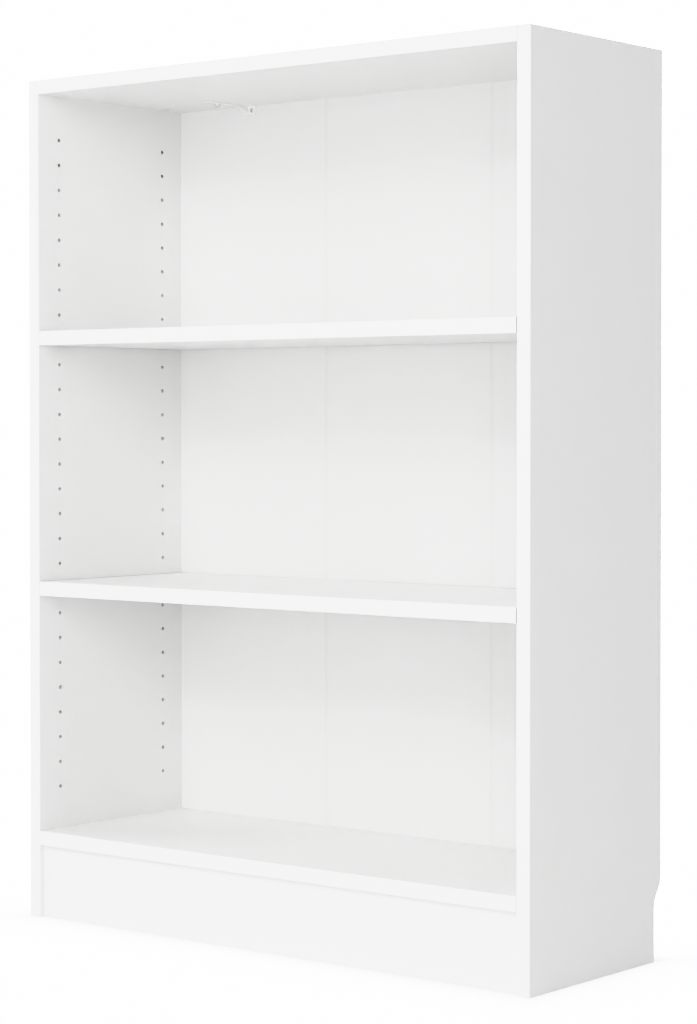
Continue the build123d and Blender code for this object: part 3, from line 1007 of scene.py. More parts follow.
@dataclass
class Placed:
    """Copies of one small part, set on their places by a geometry tree.

    Attributes:
        template: The part about its own origin, its axis along +Z.
        material: Its finish.
        rolled: Whether each copy is turned about its axis by chance.
        places: Origin and axis direction of each copy.
    """

    template: bpy.types.Mesh
    material: bpy.types.Material
    rolled: bool = True
    places: list[tuple[Vector, Vector]] = field(default_factory=list)

    def add(self, origin: Vector, aim: Vector) -> None:
        """Adds a place."""
        self.places.append((origin, aim))

    def mesh(self, name: str) -> bpy.types.Mesh:
        """Builds all copies.

        Args:
            name: Name of the mesh.

        Returns:
            One plain mesh.
        """
        points = bpy.data.meshes.new(name)
        points.from_pydata([origin for origin, _ in self.places], [], [])
        aims = points.attributes.new("aim", "FLOAT_VECTOR", "POINT")
        for value, (_, aim) in zip(aims.data, self.places):
            value.vector = aim
        part = bpy.data.objects.new(f"{name}_template", self.template)
        bpy.context.scene.collection.objects.link(part)
        shaping = Shaping(f"{name}_places")
        source = shaping.given("Template", "Object", part)
        seed = shaping.given("Seed", "Int", SEED)
        roll = shaping.given("Largest Roll", "Float", TURN if self.rolled else 0.0)
        original = shaping.node("GeometryNodeObjectInfo", inputs={"Object": source})
        aim = shaping.node("GeometryNodeInputNamedAttribute", {"data_type": "FLOAT_VECTOR"}, {"Name": "aim"})
        facing = shaping.node("FunctionNodeAlignRotationToVector", {"axis": "Z"}, {"Vector": aim.outputs[0]})
        chance = shaping.node("FunctionNodeRandomValue", inputs={"Max": roll, "Seed": seed})
        chosen = next(s for s in chance.outputs if s.enabled)
        spin = shaping.node("FunctionNodeAxisAngleToRotation", inputs={"Axis": (0, 0, 1), "Angle": chosen})
        turned = shaping.node("FunctionNodeRotateRotation", {"rotation_space": "LOCAL"}, {
            "Rotation": facing.outputs[0], "Rotate By": spin.outputs[0],
        })
        copies = shaping.node("GeometryNodeInstanceOnPoints", inputs={
            "Points": shaping.geometry,
            "Instance": next(s for s in original.outputs if s.name == "Geometry"),
            "Rotation": turned.outputs[0],
        })
        shaping.close(copies.outputs[0], self.material)
        made = shaping.bake(points)
        bpy.data.objects.remove(part)
        return made


@dataclass(frozen=True)
class Rings:
    """Equal round rings, set on their places by a geometry tree.

    Attributes:
        radius: Of a ring's middle line.
        lip: Radius of a ring's section.
        axis: Direction of every ring's axis.
        steps: Faces round a ring.
    """

    radius: float
    lip: float
    axis: Colour
    steps: int = 28

    def mesh(self, places: Sequence[Vector], material: bpy.types.Material) -> bpy.types.Mesh:
        """Builds all rings.

        Args:
            places: Centre of each ring.
            material: Their finish.

        Returns:
            One plain mesh.
        """
        points = bpy.data.meshes.new("ring_places")
        points.from_pydata(list(places), [], [])
        shaping = Shaping("rings")
        radius = shaping.given("Radius", "Float", self.radius)
        lip = shaping.given("Lip", "Float", self.lip)
        axis = shaping.given("Axis", "Vector", self.axis)
        steps = shaping.given("Steps", "Int", self.steps)
        circle = "GeometryNodeCurvePrimitiveCircle"
        ring = shaping.node(circle, inputs={"Resolution": steps, "Radius": radius})
        section = shaping.node(circle, inputs={"Resolution": 8, "Radius": lip})
        sweep = {"Curve": ring.outputs[0], "Profile Curve": section.outputs[0]}
        swept = shaping.node("GeometryNodeCurveToMesh", inputs=sweep)
        facing = shaping.node("FunctionNodeAlignRotationToVector", {"axis": "Z"}, {"Vector": axis})
        copies = shaping.node("GeometryNodeInstanceOnPoints", inputs={
            "Points": shaping.geometry, "Instance": swept.outputs[0], "Rotation": facing.outputs[0],
        })
        shaping.close(copies.outputs[0], material)
        return shaping.bake(points)


@dataclass(frozen=True)
class Extruded:
    """A flat outline in X and Y, drawn up along Z and closed at both ends.

    Attributes:
        outline: X and Y of its corners in order.
        low: Height where it begins.
        high: Height where it ends.
    """

    outline: Sequence[tuple[float, float]]
    low: float
    high: float

    def fill(self, work: bmesh.types.BMesh) -> None:
        """Adds the walls and the two ends.

        Args:
            work: Mesh to add to.
        """
        rings = [[work.verts.new((x, y, z)) for x, y in self.outline] for z in (self.low, self.high)]
        for step in range(len(self.outline)):
            after = (step + 1) % len(self.outline)
            work.faces.new((rings[0][step], rings[0][after], rings[1][after], rings[1][step]))
        for ring in rings:
            work.faces.new(ring)

    def mesh(self) -> bpy.types.Mesh:
        """Builds the mesh."""
        return shaped("extruded", self.fill)


@dataclass(frozen=True)
class Softened:
    """A CAD node's own shape with its sharp edges rounded off.

    Attributes:
        node: Name of the node.
        width: Of the rounding.
        steps: Faces across it.
        sharper_than: Angle, in degrees, past which an edge is rounded.
    """

    node: str
    width: float
    steps: int = 2
    sharper_than: float = 35.0

    def mesh(self) -> bpy.types.Mesh:
        """Merges a copy of the node's mesh, joins its flat faces and rounds its edges."""
        work = bmesh.new()
        work.from_mesh(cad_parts[self.node].data)
        bmesh.ops.remove_doubles(work, verts=work.verts, dist=1e-6)
        bmesh.ops.dissolve_limit(work, angle_limit=math.radians(0.5), verts=work.verts, edges=work.edges)
        bmesh.ops.recalc_face_normals(work, faces=work.faces)
        merged = bpy.data.meshes.new(self.node)
        work.to_mesh(merged)
        work.free()
        carrier = bpy.data.objects.new(self.node, merged)
        bpy.context.scene.collection.objects.link(carrier)
        bevel = carrier.modifiers.new("rounding", "BEVEL")
        bevel.width = self.width
        bevel.segments = self.steps
        bevel.limit_method = "ANGLE"
        bevel.angle_limit = math.radians(self.sharper_than)
        bevel.use_clamp_overlap = True
        made = baked(carrier)
        bpy.data.objects.remove(carrier)
        return made


# ---- Sub-assemblies ------------------------------------------------------------------------
@dataclass
class Boards:
    """Sides, fixed boards, plinth and shelves, which keep their CAD shapes.

    Attributes:
        nodes: The boards' CAD nodes.
    """

    nodes: tuple[str, ...] = (
        "left_side", "right_side", "top_panel", "bottom_panel", "plinth", "upper_shelf", "lower_shelf",
    )

    def build(self, palette: Palette) -> None:
        """Gives every board its own foil and core."""
        for node in self.nodes:
            dress(node, palette.board(node))


@dataclass
class EdgeBands:
    """Edge bands glued to the boards, with rounded outer corners.

    Attributes:
        bodies: Body of each banded board.
        between_sides: Boards whose bands end at the sides, a hair's breadth short of them.
        end_gap: That hair's breadth.
        rounding: Radius of the outer corners.
        steps: Faces across one corner.
    """

    bodies: dict[str, str] = field(default_factory=lambda: {
        "left_side": "carcass",
        "right_side": "carcass",
        "top_panel": "carcass",
        "bottom_panel": "carcass",
        "upper_shelf": "upper_shelf",
        "lower_shelf": "lower_shelf",
    })
    between_sides: tuple[str, ...] = ("top_panel", "bottom_panel")
    end_gap: float = 0.4 * MM
    rounding: float = 0.6 * MM
    steps: int = 3

    def boxes(self, board: Box, edging: Box) -> list[Box]:
        """The boxes of a board's bands, one for each way in which they stand out of the board.

        Args:
            board: Box of the board.
            edging: Box of its bands together.

        Returns:
            The front band over its whole length, and a top band behind it if there is one.
        """
        front_high = Vector((edging[1][0], board[0][1], edging[1][2]))
        found = [(edging[0].copy(), front_high)]
        if edging[1][2] > board[1][2] + 0.1 * MM:
            found.append((Vector((board[0][0], board[0][1], board[1][2])), edging[1].copy()))
        return found

    def band(self, box: Box, board: Box) -> bpy.types.Mesh:
        """One band.

        Args:
            box: Box of the band.
            board: Box of the board that it is glued to.

        Returns:
            Its mesh.
        """
        size = box[1] - box[0]
        thin = min(range(3), key=lambda i: size[i])
        run = max(range(3), key=lambda i: size[i])
        outer = box[1][thin] if middle(box)[thin] > middle(board)[thin] else box[0][thin]

        def fill(work: bmesh.types.BMesh) -> None:
            """Adds the strip and rounds its two long outer edges."""
            place = Matrix.Translation(middle(box)) @ Matrix.Diagonal((*size, 1.0))
            bmesh.ops.create_cube(work, size=1.0, matrix=place)
            corners = [
                edge for edge in work.edges
                if all(abs(point.co[thin] - outer) < 1e-6 for point in edge.verts)
                and abs(edge.verts[0].co[run] - edge.verts[1].co[run]) > size[run] / 2
            ]
            bmesh.ops.bevel(
                work, geom=corners, offset=self.rounding, segments=self.steps, profile=0.5, affect="EDGES"
            )

        return shaped("band", fill)

    def build(self, palette: Palette) -> None:
        """Builds the bands of every board."""
        for board, body in self.bodies.items():
            node = f"{board}_edging"
            low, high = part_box(node)
            if board in self.between_sides:
                short = Vector((self.end_gap, 0, 0))
                low, high = low + short, high - short
            bands = [self.band(box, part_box(board)) for box in self.boxes(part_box(board), (low, high))]
            add_piece(f"{board}_edge_bands", joined(bands), palette.edging, body, Slot.EDGING, node)


@dataclass
class HoleRims:
    """Raised foil round every free shelf-pin hole of both sides.

    Attributes:
        pitch: Between two holes of a column.
        below: How many holes of a column are lower than the lowest pin.
        count: Holes in a column.
        radius: Of a hole.
        lip: Radius of the raised ring's round section.
    """

    pitch: float = 32 * MM
    below: int = 8
    count: int = 27
    radius: float = 2.5 * MM
    lip: float = 0.22 * MM

    def free_holes(self) -> list[tuple[float, float]]:
        """Y and Z of the holes that hold no pin."""
        pins = [middle(box) for shelf in ("lower_shelf", "upper_shelf") for box in solids_of(f"{shelf}_pins")]
        columns = sorted({round(pin[1], 5) for pin in pins})
        taken = {round(pin[2], 5) for pin in pins}
        heights = [min(taken) + self.pitch * (step - self.below) for step in range(self.count)]
        free = [z for z in heights if all(abs(z - pin) > self.pitch / 2 for pin in taken)]
        return [(y, z) for y in columns for z in free]

    def build(self, palette: Palette) -> None:
        """Builds the rims of both sides."""
        rings = Rings(self.radius, self.lip, (1, 0, 0), 24)
        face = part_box("right_side")[0][0]
        for side, inner in (("left_side", -face), ("right_side", face)):
            mesh = rings.mesh([Vector((inner, y, z)) for y, z in self.free_holes()], palette.rim)
            add_piece(f"{side}_hole_rims", mesh, palette.rim, "carcass", Slot.FOIL)


@dataclass
class Back:
    """Folded back of three leaves, its fold strips and its nails.

    Attributes:
        leaves: CAD nodes of the leaves, from left to right.
        sunk: How far the strips lie behind the front of the leaves.
        strip_chamfer: At the strips' long edges.
        film: Thickness of the lacquer left over the bores for the wall screws.
        film_depth: How far it lies behind the front of the leaves.
        film_chamfer: At the film's rim.
        wall_bore: Radius of those bores.
        screw_inset: From the end of a wall bracket nearest the middle to its wall screw.
        screw_drop: From the top of a wall bracket down to its wall screw.
        nail_rows: CAD nodes of the nails and the names of the pieces that stand for them.
        shank: Radius of a nail.
        head: Radius of its head.
        head_height: Height of its head.
        length: Of the shank, with its point.
        point: Length of that point.
        rings: Gripping rings under the head.
        first_ring: From the head to the first of them.
        ring_pitch: Between two of them.
        ring_height: Of the groove that marks each.
    """

    leaves: tuple[str, ...] = ("back_panel_left", "back_panel_middle", "back_panel_right")
    sunk: float = 0.12 * MM
    strip_chamfer: float = 0.1 * MM
    film: float = 0.4 * MM
    film_depth: float = 1.2 * MM
    film_chamfer: float = 0.1 * MM
    wall_bore: float = 4 * MM
    screw_inset: float = 6.5 * MM
    screw_drop: float = 6 * MM
    nail_rows: dict[str, str] = field(default_factory=lambda: {
        "back_side_nails": "nails_into_sides",
        "back_top_nails": "nails_into_top",
        "back_bottom_nails": "nails_into_bottom",
    })
    shank: float = 0.7 * MM
    head: float = 1.8 * MM
    head_height: float = 0.6 * MM
    length: float = 22 * MM
    point: float = 2 * MM
    rings: int = 4
    first_ring: float = 1.0 * MM
    ring_pitch: float = 0.7 * MM
    ring_height: float = 0.4 * MM

    def nail(self) -> bpy.types.Mesh:
        """One nail: head seat at z = 0, point up, with gripping rings under the head."""
        crown = 0.15 * MM
        profile = [(-self.head_height, 0.55 * self.head), (-self.head_height + crown / 2, 0.85 * self.head)]
        profile += [(-self.head_height + crown, self.head), (0.0, self.head), (0.0, self.shank)]
        for ring in range(self.rings):
            height = self.first_ring + self.ring_pitch * ring
            groove = (height + self.ring_height / 2, self.shank * 0.88)
            profile += [(height, self.shank), groove, (height + self.ring_height, self.shank)]
        profile += [(self.length - self.point, self.shank), (self.length, 0.1 * MM)]
        return Turned(profile, sides=16).mesh()

    def strips(self) -> list[bpy.types.Mesh]:
        """The flexible strips: a tape behind two leaves, with a bead between them."""
        found = []
        pairs = zip(self.leaves, self.leaves[1:], solids_of("back_fold_strips"))
        for left, right, tape in pairs:
            gap = (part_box(left)[1][0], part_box(right)[0][0])
            front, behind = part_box(left)[0][1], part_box(left)[1][1]
            round_off = self.strip_chamfer
            outline = [
                (gap[0], front + self.sunk + round_off), (gap[0] + round_off, front + self.sunk),
                (gap[1] - round_off, front + self.sunk), (gap[1], front + self.sunk + round_off),
                (gap[1], behind), (tape[1][0], behind), (tape[1][0], tape[1][1] - round_off),
                (tape[1][0] - round_off, tape[1][1]), (tape[0][0] + round_off, tape[1][1]),
                (tape[0][0], tape[1][1] - round_off), (tape[0][0], behind), (gap[0], behind),
            ]
            found.append(Extruded(outline, tape[0][2], tape[1][2]).mesh())
        return found

    def build(self, palette: Palette) -> None:
        """Dresses the leaves, and builds the strips and the nails."""
        for leaf in self.leaves:
            dress(leaf, palette.back)
        strips = joined(self.strips())
        add_piece("back_fold_tapes", strips, palette.fold, "carcass", Slot.FOLD, "back_fold_strips")
        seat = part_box(self.leaves[0])[1][1]
        for node, name in self.nail_rows.items():
            nails = Placed(self.nail(), palette.nail)
            for box in solids_of(node):
                where = middle(box)
                nails.add(Vector((where[0], seat, where[2])), Vector((0, -1, 0)))
            add_piece(name, nails.mesh(name), palette.nail, "carcass", Slot.NAIL, node)
        self.build_films(palette)

    def build_films(self, palette: Palette) -> None:
        """Closes the bores behind the wall brackets with the film that the wall screws pierce."""
        rim = self.wall_bore - self.film_chamfer
        profile = [(0.0, rim), (self.film_chamfer, self.wall_bore), (self.film, self.wall_bore)]
        films = Placed(Turned(profile, sides=24).mesh(), palette.rim)
        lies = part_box(self.leaves[0])[0][1] + self.film_depth
        for hand in ("left", "right"):
            low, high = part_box(f"wall_bracket_{hand}")
            inner = min(low[0], high[0], key=abs)
            where = inner + math.copysign(self.screw_inset, inner)
            films.add(Vector((where, lies, high[2] - self.screw_drop)), Vector((0, 1, 0)))
        add_piece("wall_bore_films", films.mesh("wall_bore_films"), palette.rim, "carcass", Slot.BACK)


@dataclass
class PanScrews:
    """Pan-head screws of the wall brackets and of the plinth's steel angles.

    Attributes:
        radius: Over the thread.
        head: Radius of the head.
        head_height: Height of the head.
        length: Of the shank, with its point.
        point: Length of the point.
        pitch: Rise of one turn of the thread.
        thread_depth: From the thread's crest to the core.
        thread_start: From the head to the thread.
        rim: Height of the straight edge of the head.
        recess_length: Over two arms of the cross recess.
        recess_width: Of one arm.
        recess_depth: Of the recess.
    """

    radius: float = 2.0 * MM
    head: float = 3.8 * MM
    head_height: float = 2.6 * MM
    length: float = 14 * MM
    point: float = 3 * MM
    pitch: float = 1.4 * MM
    thread_depth: float = 0.45 * MM
    thread_start: float = 1.2 * MM
    rim: float = 0.9 * MM
    recess_length: float = 4.2 * MM
    recess_width: float = 0.9 * MM
    recess_depth: float = 1.5 * MM

    def screw(self, material: bpy.types.Material) -> bpy.types.Mesh:
        """One screw: head seat at z = 0, point up."""
        core = self.radius - self.thread_depth
        crown = arc((-self.head_height, 0.45 * self.head), (-self.rim, self.head), 6)
        profile = [*crown, (0.0, self.head), (0.0, core + 0.3 * MM), (0.6 * MM, core)]
        profile += [(self.length - self.point, core), (self.length, 0.2 * MM)]
        recess = CrossRecess(self.recess_length, self.recess_width, self.recess_depth, -self.head_height)
        turned = less(Turned(profile, sides=32).mesh(), recess.mesh())
        length = self.length - self.point - self.thread_start
        thread = Thread(core + 0.1 * MM, self.pitch, self.thread_start, length, 0.33 * MM)
        return thread.on(turned, material)

    def build(self, palette: Palette) -> None:
        """Builds the screws of both places."""
        under_top = Placed(self.screw(palette.plated), palette.plated)
        for box in solids_of("wall_bracket_screws"):
            where = middle(box)
            under_top.add(Vector((where[0], where[1], box[0][2] + self.head_height)), Vector((0, 0, 1)))
        name = "bracket_pan_screws"
        add_piece(name, under_top.mesh(name), palette.plated, "carcass", Slot.PLATED, "wall_bracket_screws")
        behind = Placed(self.screw(palette.plated), palette.plated)
        for box in solids_of("plinth_angle_screws"):
            where, size = middle(box), box[1] - box[0]
            if size[2] > size[1]:
                behind.add(Vector((where[0], where[1], box[0][2] + self.head_height)), Vector((0, 0, 1)))
            else:
                behind.add(Vector((where[0], box[1][1] - self.head_height, where[2])), Vector((0, -1, 0)))
        name = "angle_pan_screws"
        add_piece(name, behind.mesh(name), palette.plated, "carcass", Slot.PLATED, "plinth_angle_screws")


@dataclass
class Dowels:
    """Fluted wooden dowels of the fixed boards and the plinth.

    Attributes:
        rows: CAD nodes of the dowels and the names of the pieces that stand for them.
        radius: Of a dowel.
        chamfer: At both ends.
        flutes: Grooves round a dowel.
        flute_depth: Depth of those grooves.
    """

    rows: dict[str, str] = field(default_factory=lambda: {
        "top_dowels": "fluted_dowels_top",
        "bottom_dowels": "fluted_dowels_bottom",
        "plinth_dowels": "fluted_dowels_plinth",
    })
    radius: float = 4 * MM
    chamfer: float = 0.8 * MM
    flutes: int = 14
    flute_depth: float = 0.35 * MM

    def peg(self, length: float) -> bpy.types.Mesh:
        """One dowel centred on its origin.

        Args:
            length: Over both ends.

        Returns:
            Its mesh.
        """
        end, slim = length / 2, self.radius - self.chamfer
        full = end - self.chamfer
        profile = [(-end, slim), (-full, self.radius), (full, self.radius), (end, slim)]
        return Turned(profile, self.flutes * 4, self.flutes, self.flute_depth).mesh()

    def build(self, palette: Palette) -> None:
        """Builds the dowels of every row."""
        for node, name in self.rows.items():
            boxes = solids_of(node)
            pegs = Placed(self.peg(boxes[0][1][0] - boxes[0][0][0]), palette.beech)
            for box in boxes:
                pegs.add(middle(box), Vector((1, 0, 0)))
            add_piece(name, pegs.mesh(name), palette.beech, "carcass", Slot.BEECH, node)


@dataclass
class Connectors:
    """Cam connectors of the fixed boards: housings, cams and threaded ball bolts.

    Attributes:
        levels: Boards that they hold.
        corners: Where the cams of a board are.
        neck: Radius of a bolt's neck.
        ball: Radius of its ball.
        shank: Radius of its threaded shank.
        shank_length: Length of that shank.
        pitch: Rise of one turn of its thread.
        housing: Radius of a housing.
        collar: Radius of the section of the raised ring round its mouth.
        collar_inset: How much smaller the ring is than the housing, from radius to radius.
    """

    levels: tuple[str, ...] = ("top", "bottom")
    corners: tuple[str, ...] = ("front_left", "front_right", "rear_left", "rear_right")
    neck: float = 1.6 * MM
    ball: float = 3 * MM
    shank: float = 2.45 * MM
    shank_length: float = 11 * MM
    pitch: float = 1.6 * MM
    housing: float = 10 * MM
    collar: float = 0.8 * MM
    collar_inset: float = 1.4 * MM

    def bolt(self, reach: float, material: bpy.types.Material) -> bpy.types.Mesh:
        """One bolt: the side's inner face at z = 0, ball up.

        Args:
            reach: From the side's face to the end of the ball.
            material: Its finish.

        Returns:
            Its mesh.
        """
        core, tip = self.shank - 0.5 * MM, -self.shank_length
        profile = [(tip, 0.6 * core), (tip + 0.8 * MM, core), (-0.9 * MM, core), (-0.6 * MM, self.shank)]
        profile += [(0.0, self.shank), (0.0, self.neck)]
        centre = reach - self.ball
        start = math.asin(self.neck / self.ball)
        for step in range(9):
            angle = start + (math.pi * 0.96 - start) * step / 8
            profile.append((centre - self.ball * math.cos(angle), self.ball * math.sin(angle)))
        length = self.shank_length - 1.9 * MM
        thread = Thread(self.shank - 0.42 * MM, self.pitch, tip + 0.9 * MM, length, 0.4 * MM)
        return thread.on(Turned(profile, sides=24).mesh(), material)

    def build(self, palette: Palette) -> None:
        """Builds the connectors of both boards."""
        for level in self.levels:
            self.build_bolts(level, palette)
            housings = f"{level}_connector_housings"
            rounded = Softened(housings, 0.25 * MM)
            add_piece(f"{level}_housings", rounded.mesh(), palette.plastic, "carcass", Slot.PLASTIC, housings)
            collars = self.collars(housings, palette)
            add_piece(f"{level}_housing_collars", collars, palette.plastic, "carcass", Slot.PLASTIC)
            for corner in self.corners:
                cam = f"{level}_cam_{corner}"
                rounded = Softened(cam, 0.15 * MM)
                add_piece(f"{cam}_casting", rounded.mesh(), palette.zinc, cam, Slot.ZINC, cam)

    def collars(self, housings: str, palette: Palette) -> bpy.types.Mesh:
        """The raised rings round the mouths of one board's housings.

        Args:
            housings: CAD node of the housings.
            palette: The materials.

        Returns:
            The rings as one mesh.
        """
        places = []
        for low, high in solids_of(housings):
            inner = min(low[0], high[0], key=abs)
            across = inner + math.copysign(self.housing, inner)
            places.append(Vector((across, (low[1] + high[1]) / 2, low[2])))
        return Rings(self.housing - self.collar_inset, self.collar, (0, 0, 1)).mesh(places, palette.plastic)

    def build_bolts(self, level: str, palette: Palette) -> None:
        """Builds the ball bolts of one board.

        Args:
            level: Name of the board.
            palette: The materials.
        """
        node = f"{level}_connecting_bolts"
        boxes = solids_of(node)
        face = abs(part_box("right_side")[0][0])
        reach = face - min(abs(end) for box in boxes for end in (box[0][0], box[1][0]))
        bolts = Placed(self.bolt(reach, palette.plated), palette.plated)
        for box in boxes:
            where = middle(box)
            hand = math.copysign(1.0, where[0])
            bolts.add(Vector((hand * face, where[1], where[2])), Vector((-hand, 0, 0)))
        name = f"{level}_ball_bolts"
        add_piece(name, bolts.mesh(name), palette.plated, "carcass", Slot.PLATED, node)


@dataclass
class ShelfSupports:
    """Ribbed steel pins in the sides and round sockets in the shelves.

    Attributes:
        shelves: The adjustable shelves.
        nose: Radius of the pin's nose.
        nose_length: How far it stands out of the side.
        shank: Radius of the pin's shank.
        shank_length: How far it goes into the side.
        chamfer: At the nose's end.
    """

    shelves: tuple[str, ...] = ("upper_shelf", "lower_shelf")
    nose: float = 3 * MM
    nose_length: float = 9 * MM
    shank: float = 2.45 * MM
    shank_length: float = 11 * MM
    chamfer: float = 0.6 * MM

    def pin(self) -> bpy.types.Mesh:
        """One pin: the side's inner face at z = 0, nose up."""
        slim, end = self.shank - 0.2 * MM, self.nose_length
        profile = [(-self.shank_length, slim - 0.5 * MM), (-self.shank_length + self.chamfer, slim)]
        for rib in range(6):
            height = (-9.6 + 1.5 * rib) * MM
            profile += [(height, slim), (height + 0.3 * MM, self.shank), (height + 0.6 * MM, slim)]
        profile += [(0.0, slim), (0.0, self.nose - 0.2 * MM), (0.2 * MM, self.nose)]
        profile += [(end - self.chamfer, self.nose), (end, self.nose - self.chamfer)]
        return Turned(profile, sides=28).mesh()

    def build(self, palette: Palette) -> None:
        """Builds the pins and sockets of both shelves."""
        face = abs(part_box("right_side")[0][0])
        for shelf in self.shelves:
            node = f"{shelf}_pins"
            pins = Placed(self.pin(), palette.plated)
            for box in solids_of(node):
                where = middle(box)
                hand = math.copysign(1.0, where[0])
                pins.add(Vector((hand * face, where[1], where[2])), Vector((-hand, 0, 0)))
            name = f"{shelf}_ribbed_pins"
            add_piece(name, pins.mesh(name), palette.plated, "carcass", Slot.PLATED, node)
            sockets = f"{shelf}_sockets"
            rounded = Softened(sockets, 0.25 * MM)
            add_piece(f"{shelf}_round_sockets", rounded.mesh(), palette.plastic, shelf, Slot.PLASTIC, sockets)


@dataclass
class SteelParts:
    """Pressed steel: the wall brackets under the top and the angles behind the plinth.

    Attributes:
        rounding: Radius of the pressed edges.
    """

    rounding: float = 0.35 * MM

    def build(self, palette: Palette) -> None:
        """Rounds the edges of the pressed parts and gives them their finish."""
        for hand in ("left", "right"):
            node = f"wall_bracket_{hand}"
            rounded = Softened(node, self.rounding)
            add_piece(f"{node}_pressing", rounded.mesh(), palette.enamel, "carcass", Slot.ENAMEL, node)
        angles = "plinth_angles"
        rounded = Softened(angles, self.rounding)
        add_piece("plinth_steel_angles", rounded.mesh(), palette.plated, "carcass", Slot.PLATED, angles)


# ---- Studio --------------------------------------------------------------------------------
@dataclass(frozen=True)
class Softbox:
    """A square area light.

    Attributes:
        name: Name of the light.
        place: Where it hangs.
        aim: What it points at.
        size: Length of its edge.
        power: In watts.
    """

    name: str
    place: Colour
    aim: Colour
    size: float
    power: float

    def hang(self) -> None:
        """Adds the light."""
        light = bpy.data.lights.new(self.name, "AREA")
        light.size = self.size
        light.energy = self.power
        lamp = bpy.data.objects.new(self.name, light)
        lamp.location = self.place
        direction = Vector(self.aim) - Vector(self.place)
        lamp.rotation_euler = direction.to_track_quat("-Z", "Y").to_euler()
        bpy.context.scene.collection.objects.link(lamp)


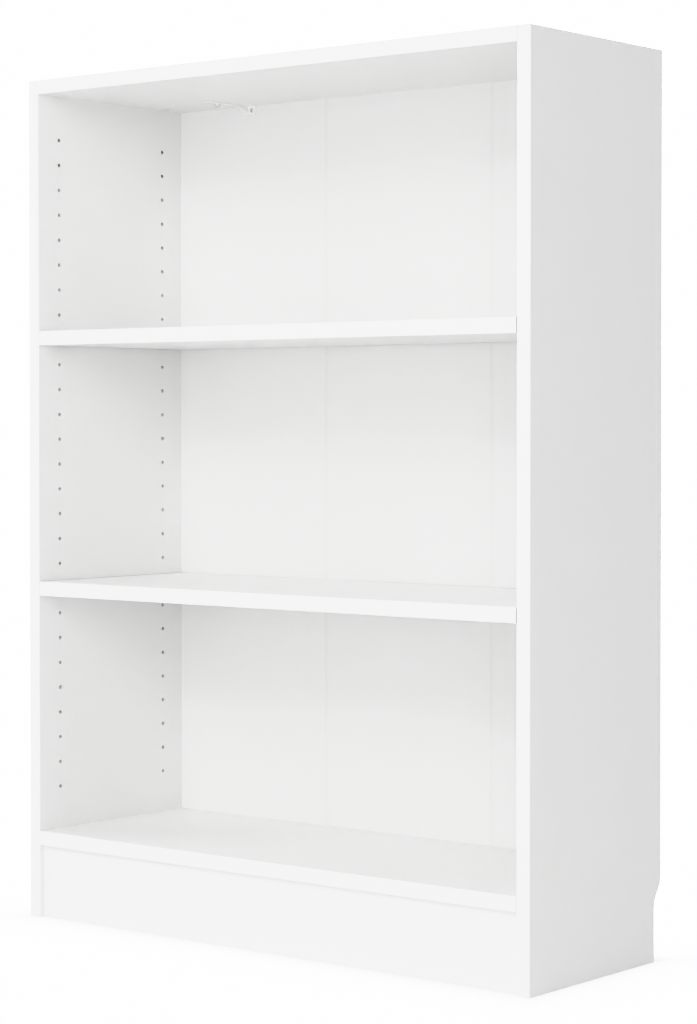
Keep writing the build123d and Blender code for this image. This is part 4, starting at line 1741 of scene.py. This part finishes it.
@dataclass
class Studio:
    """Pale floor, white surroundings, soft lights and the camera.

    Attributes:
        eye: Where the camera stands.
        yaw: Direction of its view, from +Y towards -X.
        pitch: Its view's angle below the horizon.
        lens: Focal length in millimetres, for a long side of 36 mm.
        shift: How far the frame is moved, as shares of its long side.
        surround: Brightness of the white surroundings as a light.
        backdrop: Brightness of the surroundings and the floor as they are seen.
        contact: How far from the bookcase its soft shadow shows on the floor.
        contact_white: Share of plain white that the floor keeps there.
        softboxes: The lights.
    """

    eye: Colour = (2.084, -2.5024, 0.6346)
    yaw: float = 0.6739
    pitch: float = 0.0204
    lens: float = 93.13
    shift: tuple[float, float] = (-0.0375, -0.0347)
    surround: float = 0.37
    backdrop: float = 12.0
    contact: float = 60 * MM
    contact_white: float = 0.06
    softboxes: tuple[Softbox, ...] = (
        Softbox("front_high", (0.0, -3.6, 3.4), (0.0, 0.0, 0.6), 2.4, 86.0),
        Softbox("front_right", (2.6, -3.4, 1.6), (0.0, 0.0, 0.5), 2.2, 55.0),
        Softbox("left", (-3.4, -1.0, 1.8), (0.0, 0.0, 0.5), 2.0, 55.0),
        Softbox("right", (3.4, 0.2, 1.6), (0.0, 0.0, 0.5), 2.0, 18.0),
        Softbox("low_front", (0.2, -3.0, 0.35), (0.0, 0.0, 0.6), 1.2, 17.0),
        Softbox("rear", (-1.3, 3.2, 1.8), (0.0, 0.0, 0.5), 1.6, 40.0),
    )

    def camera(self) -> None:
        """Adds the camera at the place and angle of the view."""
        data = bpy.data.cameras.new("camera")
        data.lens = self.lens
        data.sensor_width = 36.0
        data.shift_x, data.shift_y = self.shift
        data.clip_start, data.clip_end = 0.05, 60.0
        eye = bpy.data.objects.new("camera", data)
        level = math.cos(self.pitch)
        ahead = Vector((-math.sin(self.yaw) * level, math.cos(self.yaw) * level, -math.sin(self.pitch)))
        eye.location = self.eye
        eye.rotation_euler = ahead.to_track_quat("-Z", "Y").to_euler()
        bpy.context.scene.collection.objects.link(eye)
        bpy.context.scene.camera = eye

    def seen_white(
        self, graph: Graph, lit: bpy.types.NodeSocket, kind: str, share: Any = 1.0
    ) -> bpy.types.NodeSocket:
        """Shows one shader as plain white and leaves its light as it is.

        Args:
            graph: Tree of the shader.
            lit: The shader that gives the light.
            kind: Node type of the white shader.
            share: How much of the white is seen, from 0 to 1.

        Returns:
            The two shaders together.
        """
        white = graph.node(kind, inputs={"Color": (1.0, 1.0, 1.0), "Strength": self.backdrop})
        ray = Signal(graph, graph.node("ShaderNodeLightPath").outputs["Is Camera Ray"])
        both = graph.node("ShaderNodeMixShader", inputs={"Fac": ray * share})
        graph.tree.links.new(lit, both.inputs[1])
        graph.tree.links.new(white.outputs[0], both.inputs[2])
        return both.outputs[0]

    def surroundings(self) -> None:
        """White all round: full white to look at, and dimmer as a light."""
        world = bpy.data.worlds.new("surroundings")
        world.use_nodes = True
        graph = Graph(world.node_tree)
        graph.tree.nodes.clear()
        lit = graph.node("ShaderNodeBackground", inputs={"Color": (1.0, 1.0, 1.0), "Strength": self.surround})
        both = self.seen_white(graph, lit.outputs[0], "ShaderNodeBackground")
        graph.node("ShaderNodeOutputWorld", inputs={"Surface": both})
        bpy.context.scene.world = world

    def floor(self) -> None:
        """A wide pale floor, so bright that it runs into the surroundings."""
        def fill(work: bmesh.types.BMesh) -> None:
            """Adds the floor's grid."""
            bmesh.ops.create_grid(work, x_segments=8, y_segments=8, size=14.0)

        shader = Shader("pale_floor")
        cloud = shader.noise(0.4, 3.0)
        lit = shader.node("ShaderNodeBsdfPrincipled", inputs={
            "Base Color": shader.mixed(cloud, (0.90, 0.90, 0.90), (0.93, 0.93, 0.93)),
            "Roughness": cloud * 0.1 + 0.6,
            "Normal": shader.bump(shader.noise(2 * MM), 0.01 * MM),
        })
        beyond = abs(shader.along(Axis.X)) - CAD_BOX[1][0]
        beyond = beyond.larger(abs(shader.along(Axis.Y)) - CAD_BOX[1][1])
        fade = self.contact * 2
        share = beyond.above(self.contact, fade) * (1 - self.contact_white) + self.contact_white
        both = self.seen_white(shader, lit.outputs[0], "ShaderNodeEmission", share)
        shader.node("ShaderNodeOutputMaterial", inputs={"Surface": both})
        ground = bpy.data.objects.new("floor", shaped("floor", fill))
        ground.data.materials.append(shader.material)
        bpy.context.scene.collection.objects.link(ground)

    def build(self) -> None:
        """Sets the whole studio up."""
        self.camera()
        self.surroundings()
        self.floor()
        for softbox in self.softboxes:
            softbox.hang()
        bpy.context.scene.view_settings.view_transform = "Khronos PBR Neutral"
        LOG.info("studio: %d softboxes", len(self.softboxes))


def main() -> None:
    """Builds the bookcase's looks and the studio, in order."""
    logging.basicConfig(level=logging.INFO, format="%(name)s %(message)s")
    palette = Palette()
    Studio().build()
    assemblies = (
        Boards(), EdgeBands(), HoleRims(), Back(), PanScrews(), Dowels(), Connectors(), ShelfSupports(),
        SteelParts(),
    )
    for assembly in assemblies:
        assembly.build(palette)


if __name__ == "__main__":
    main()
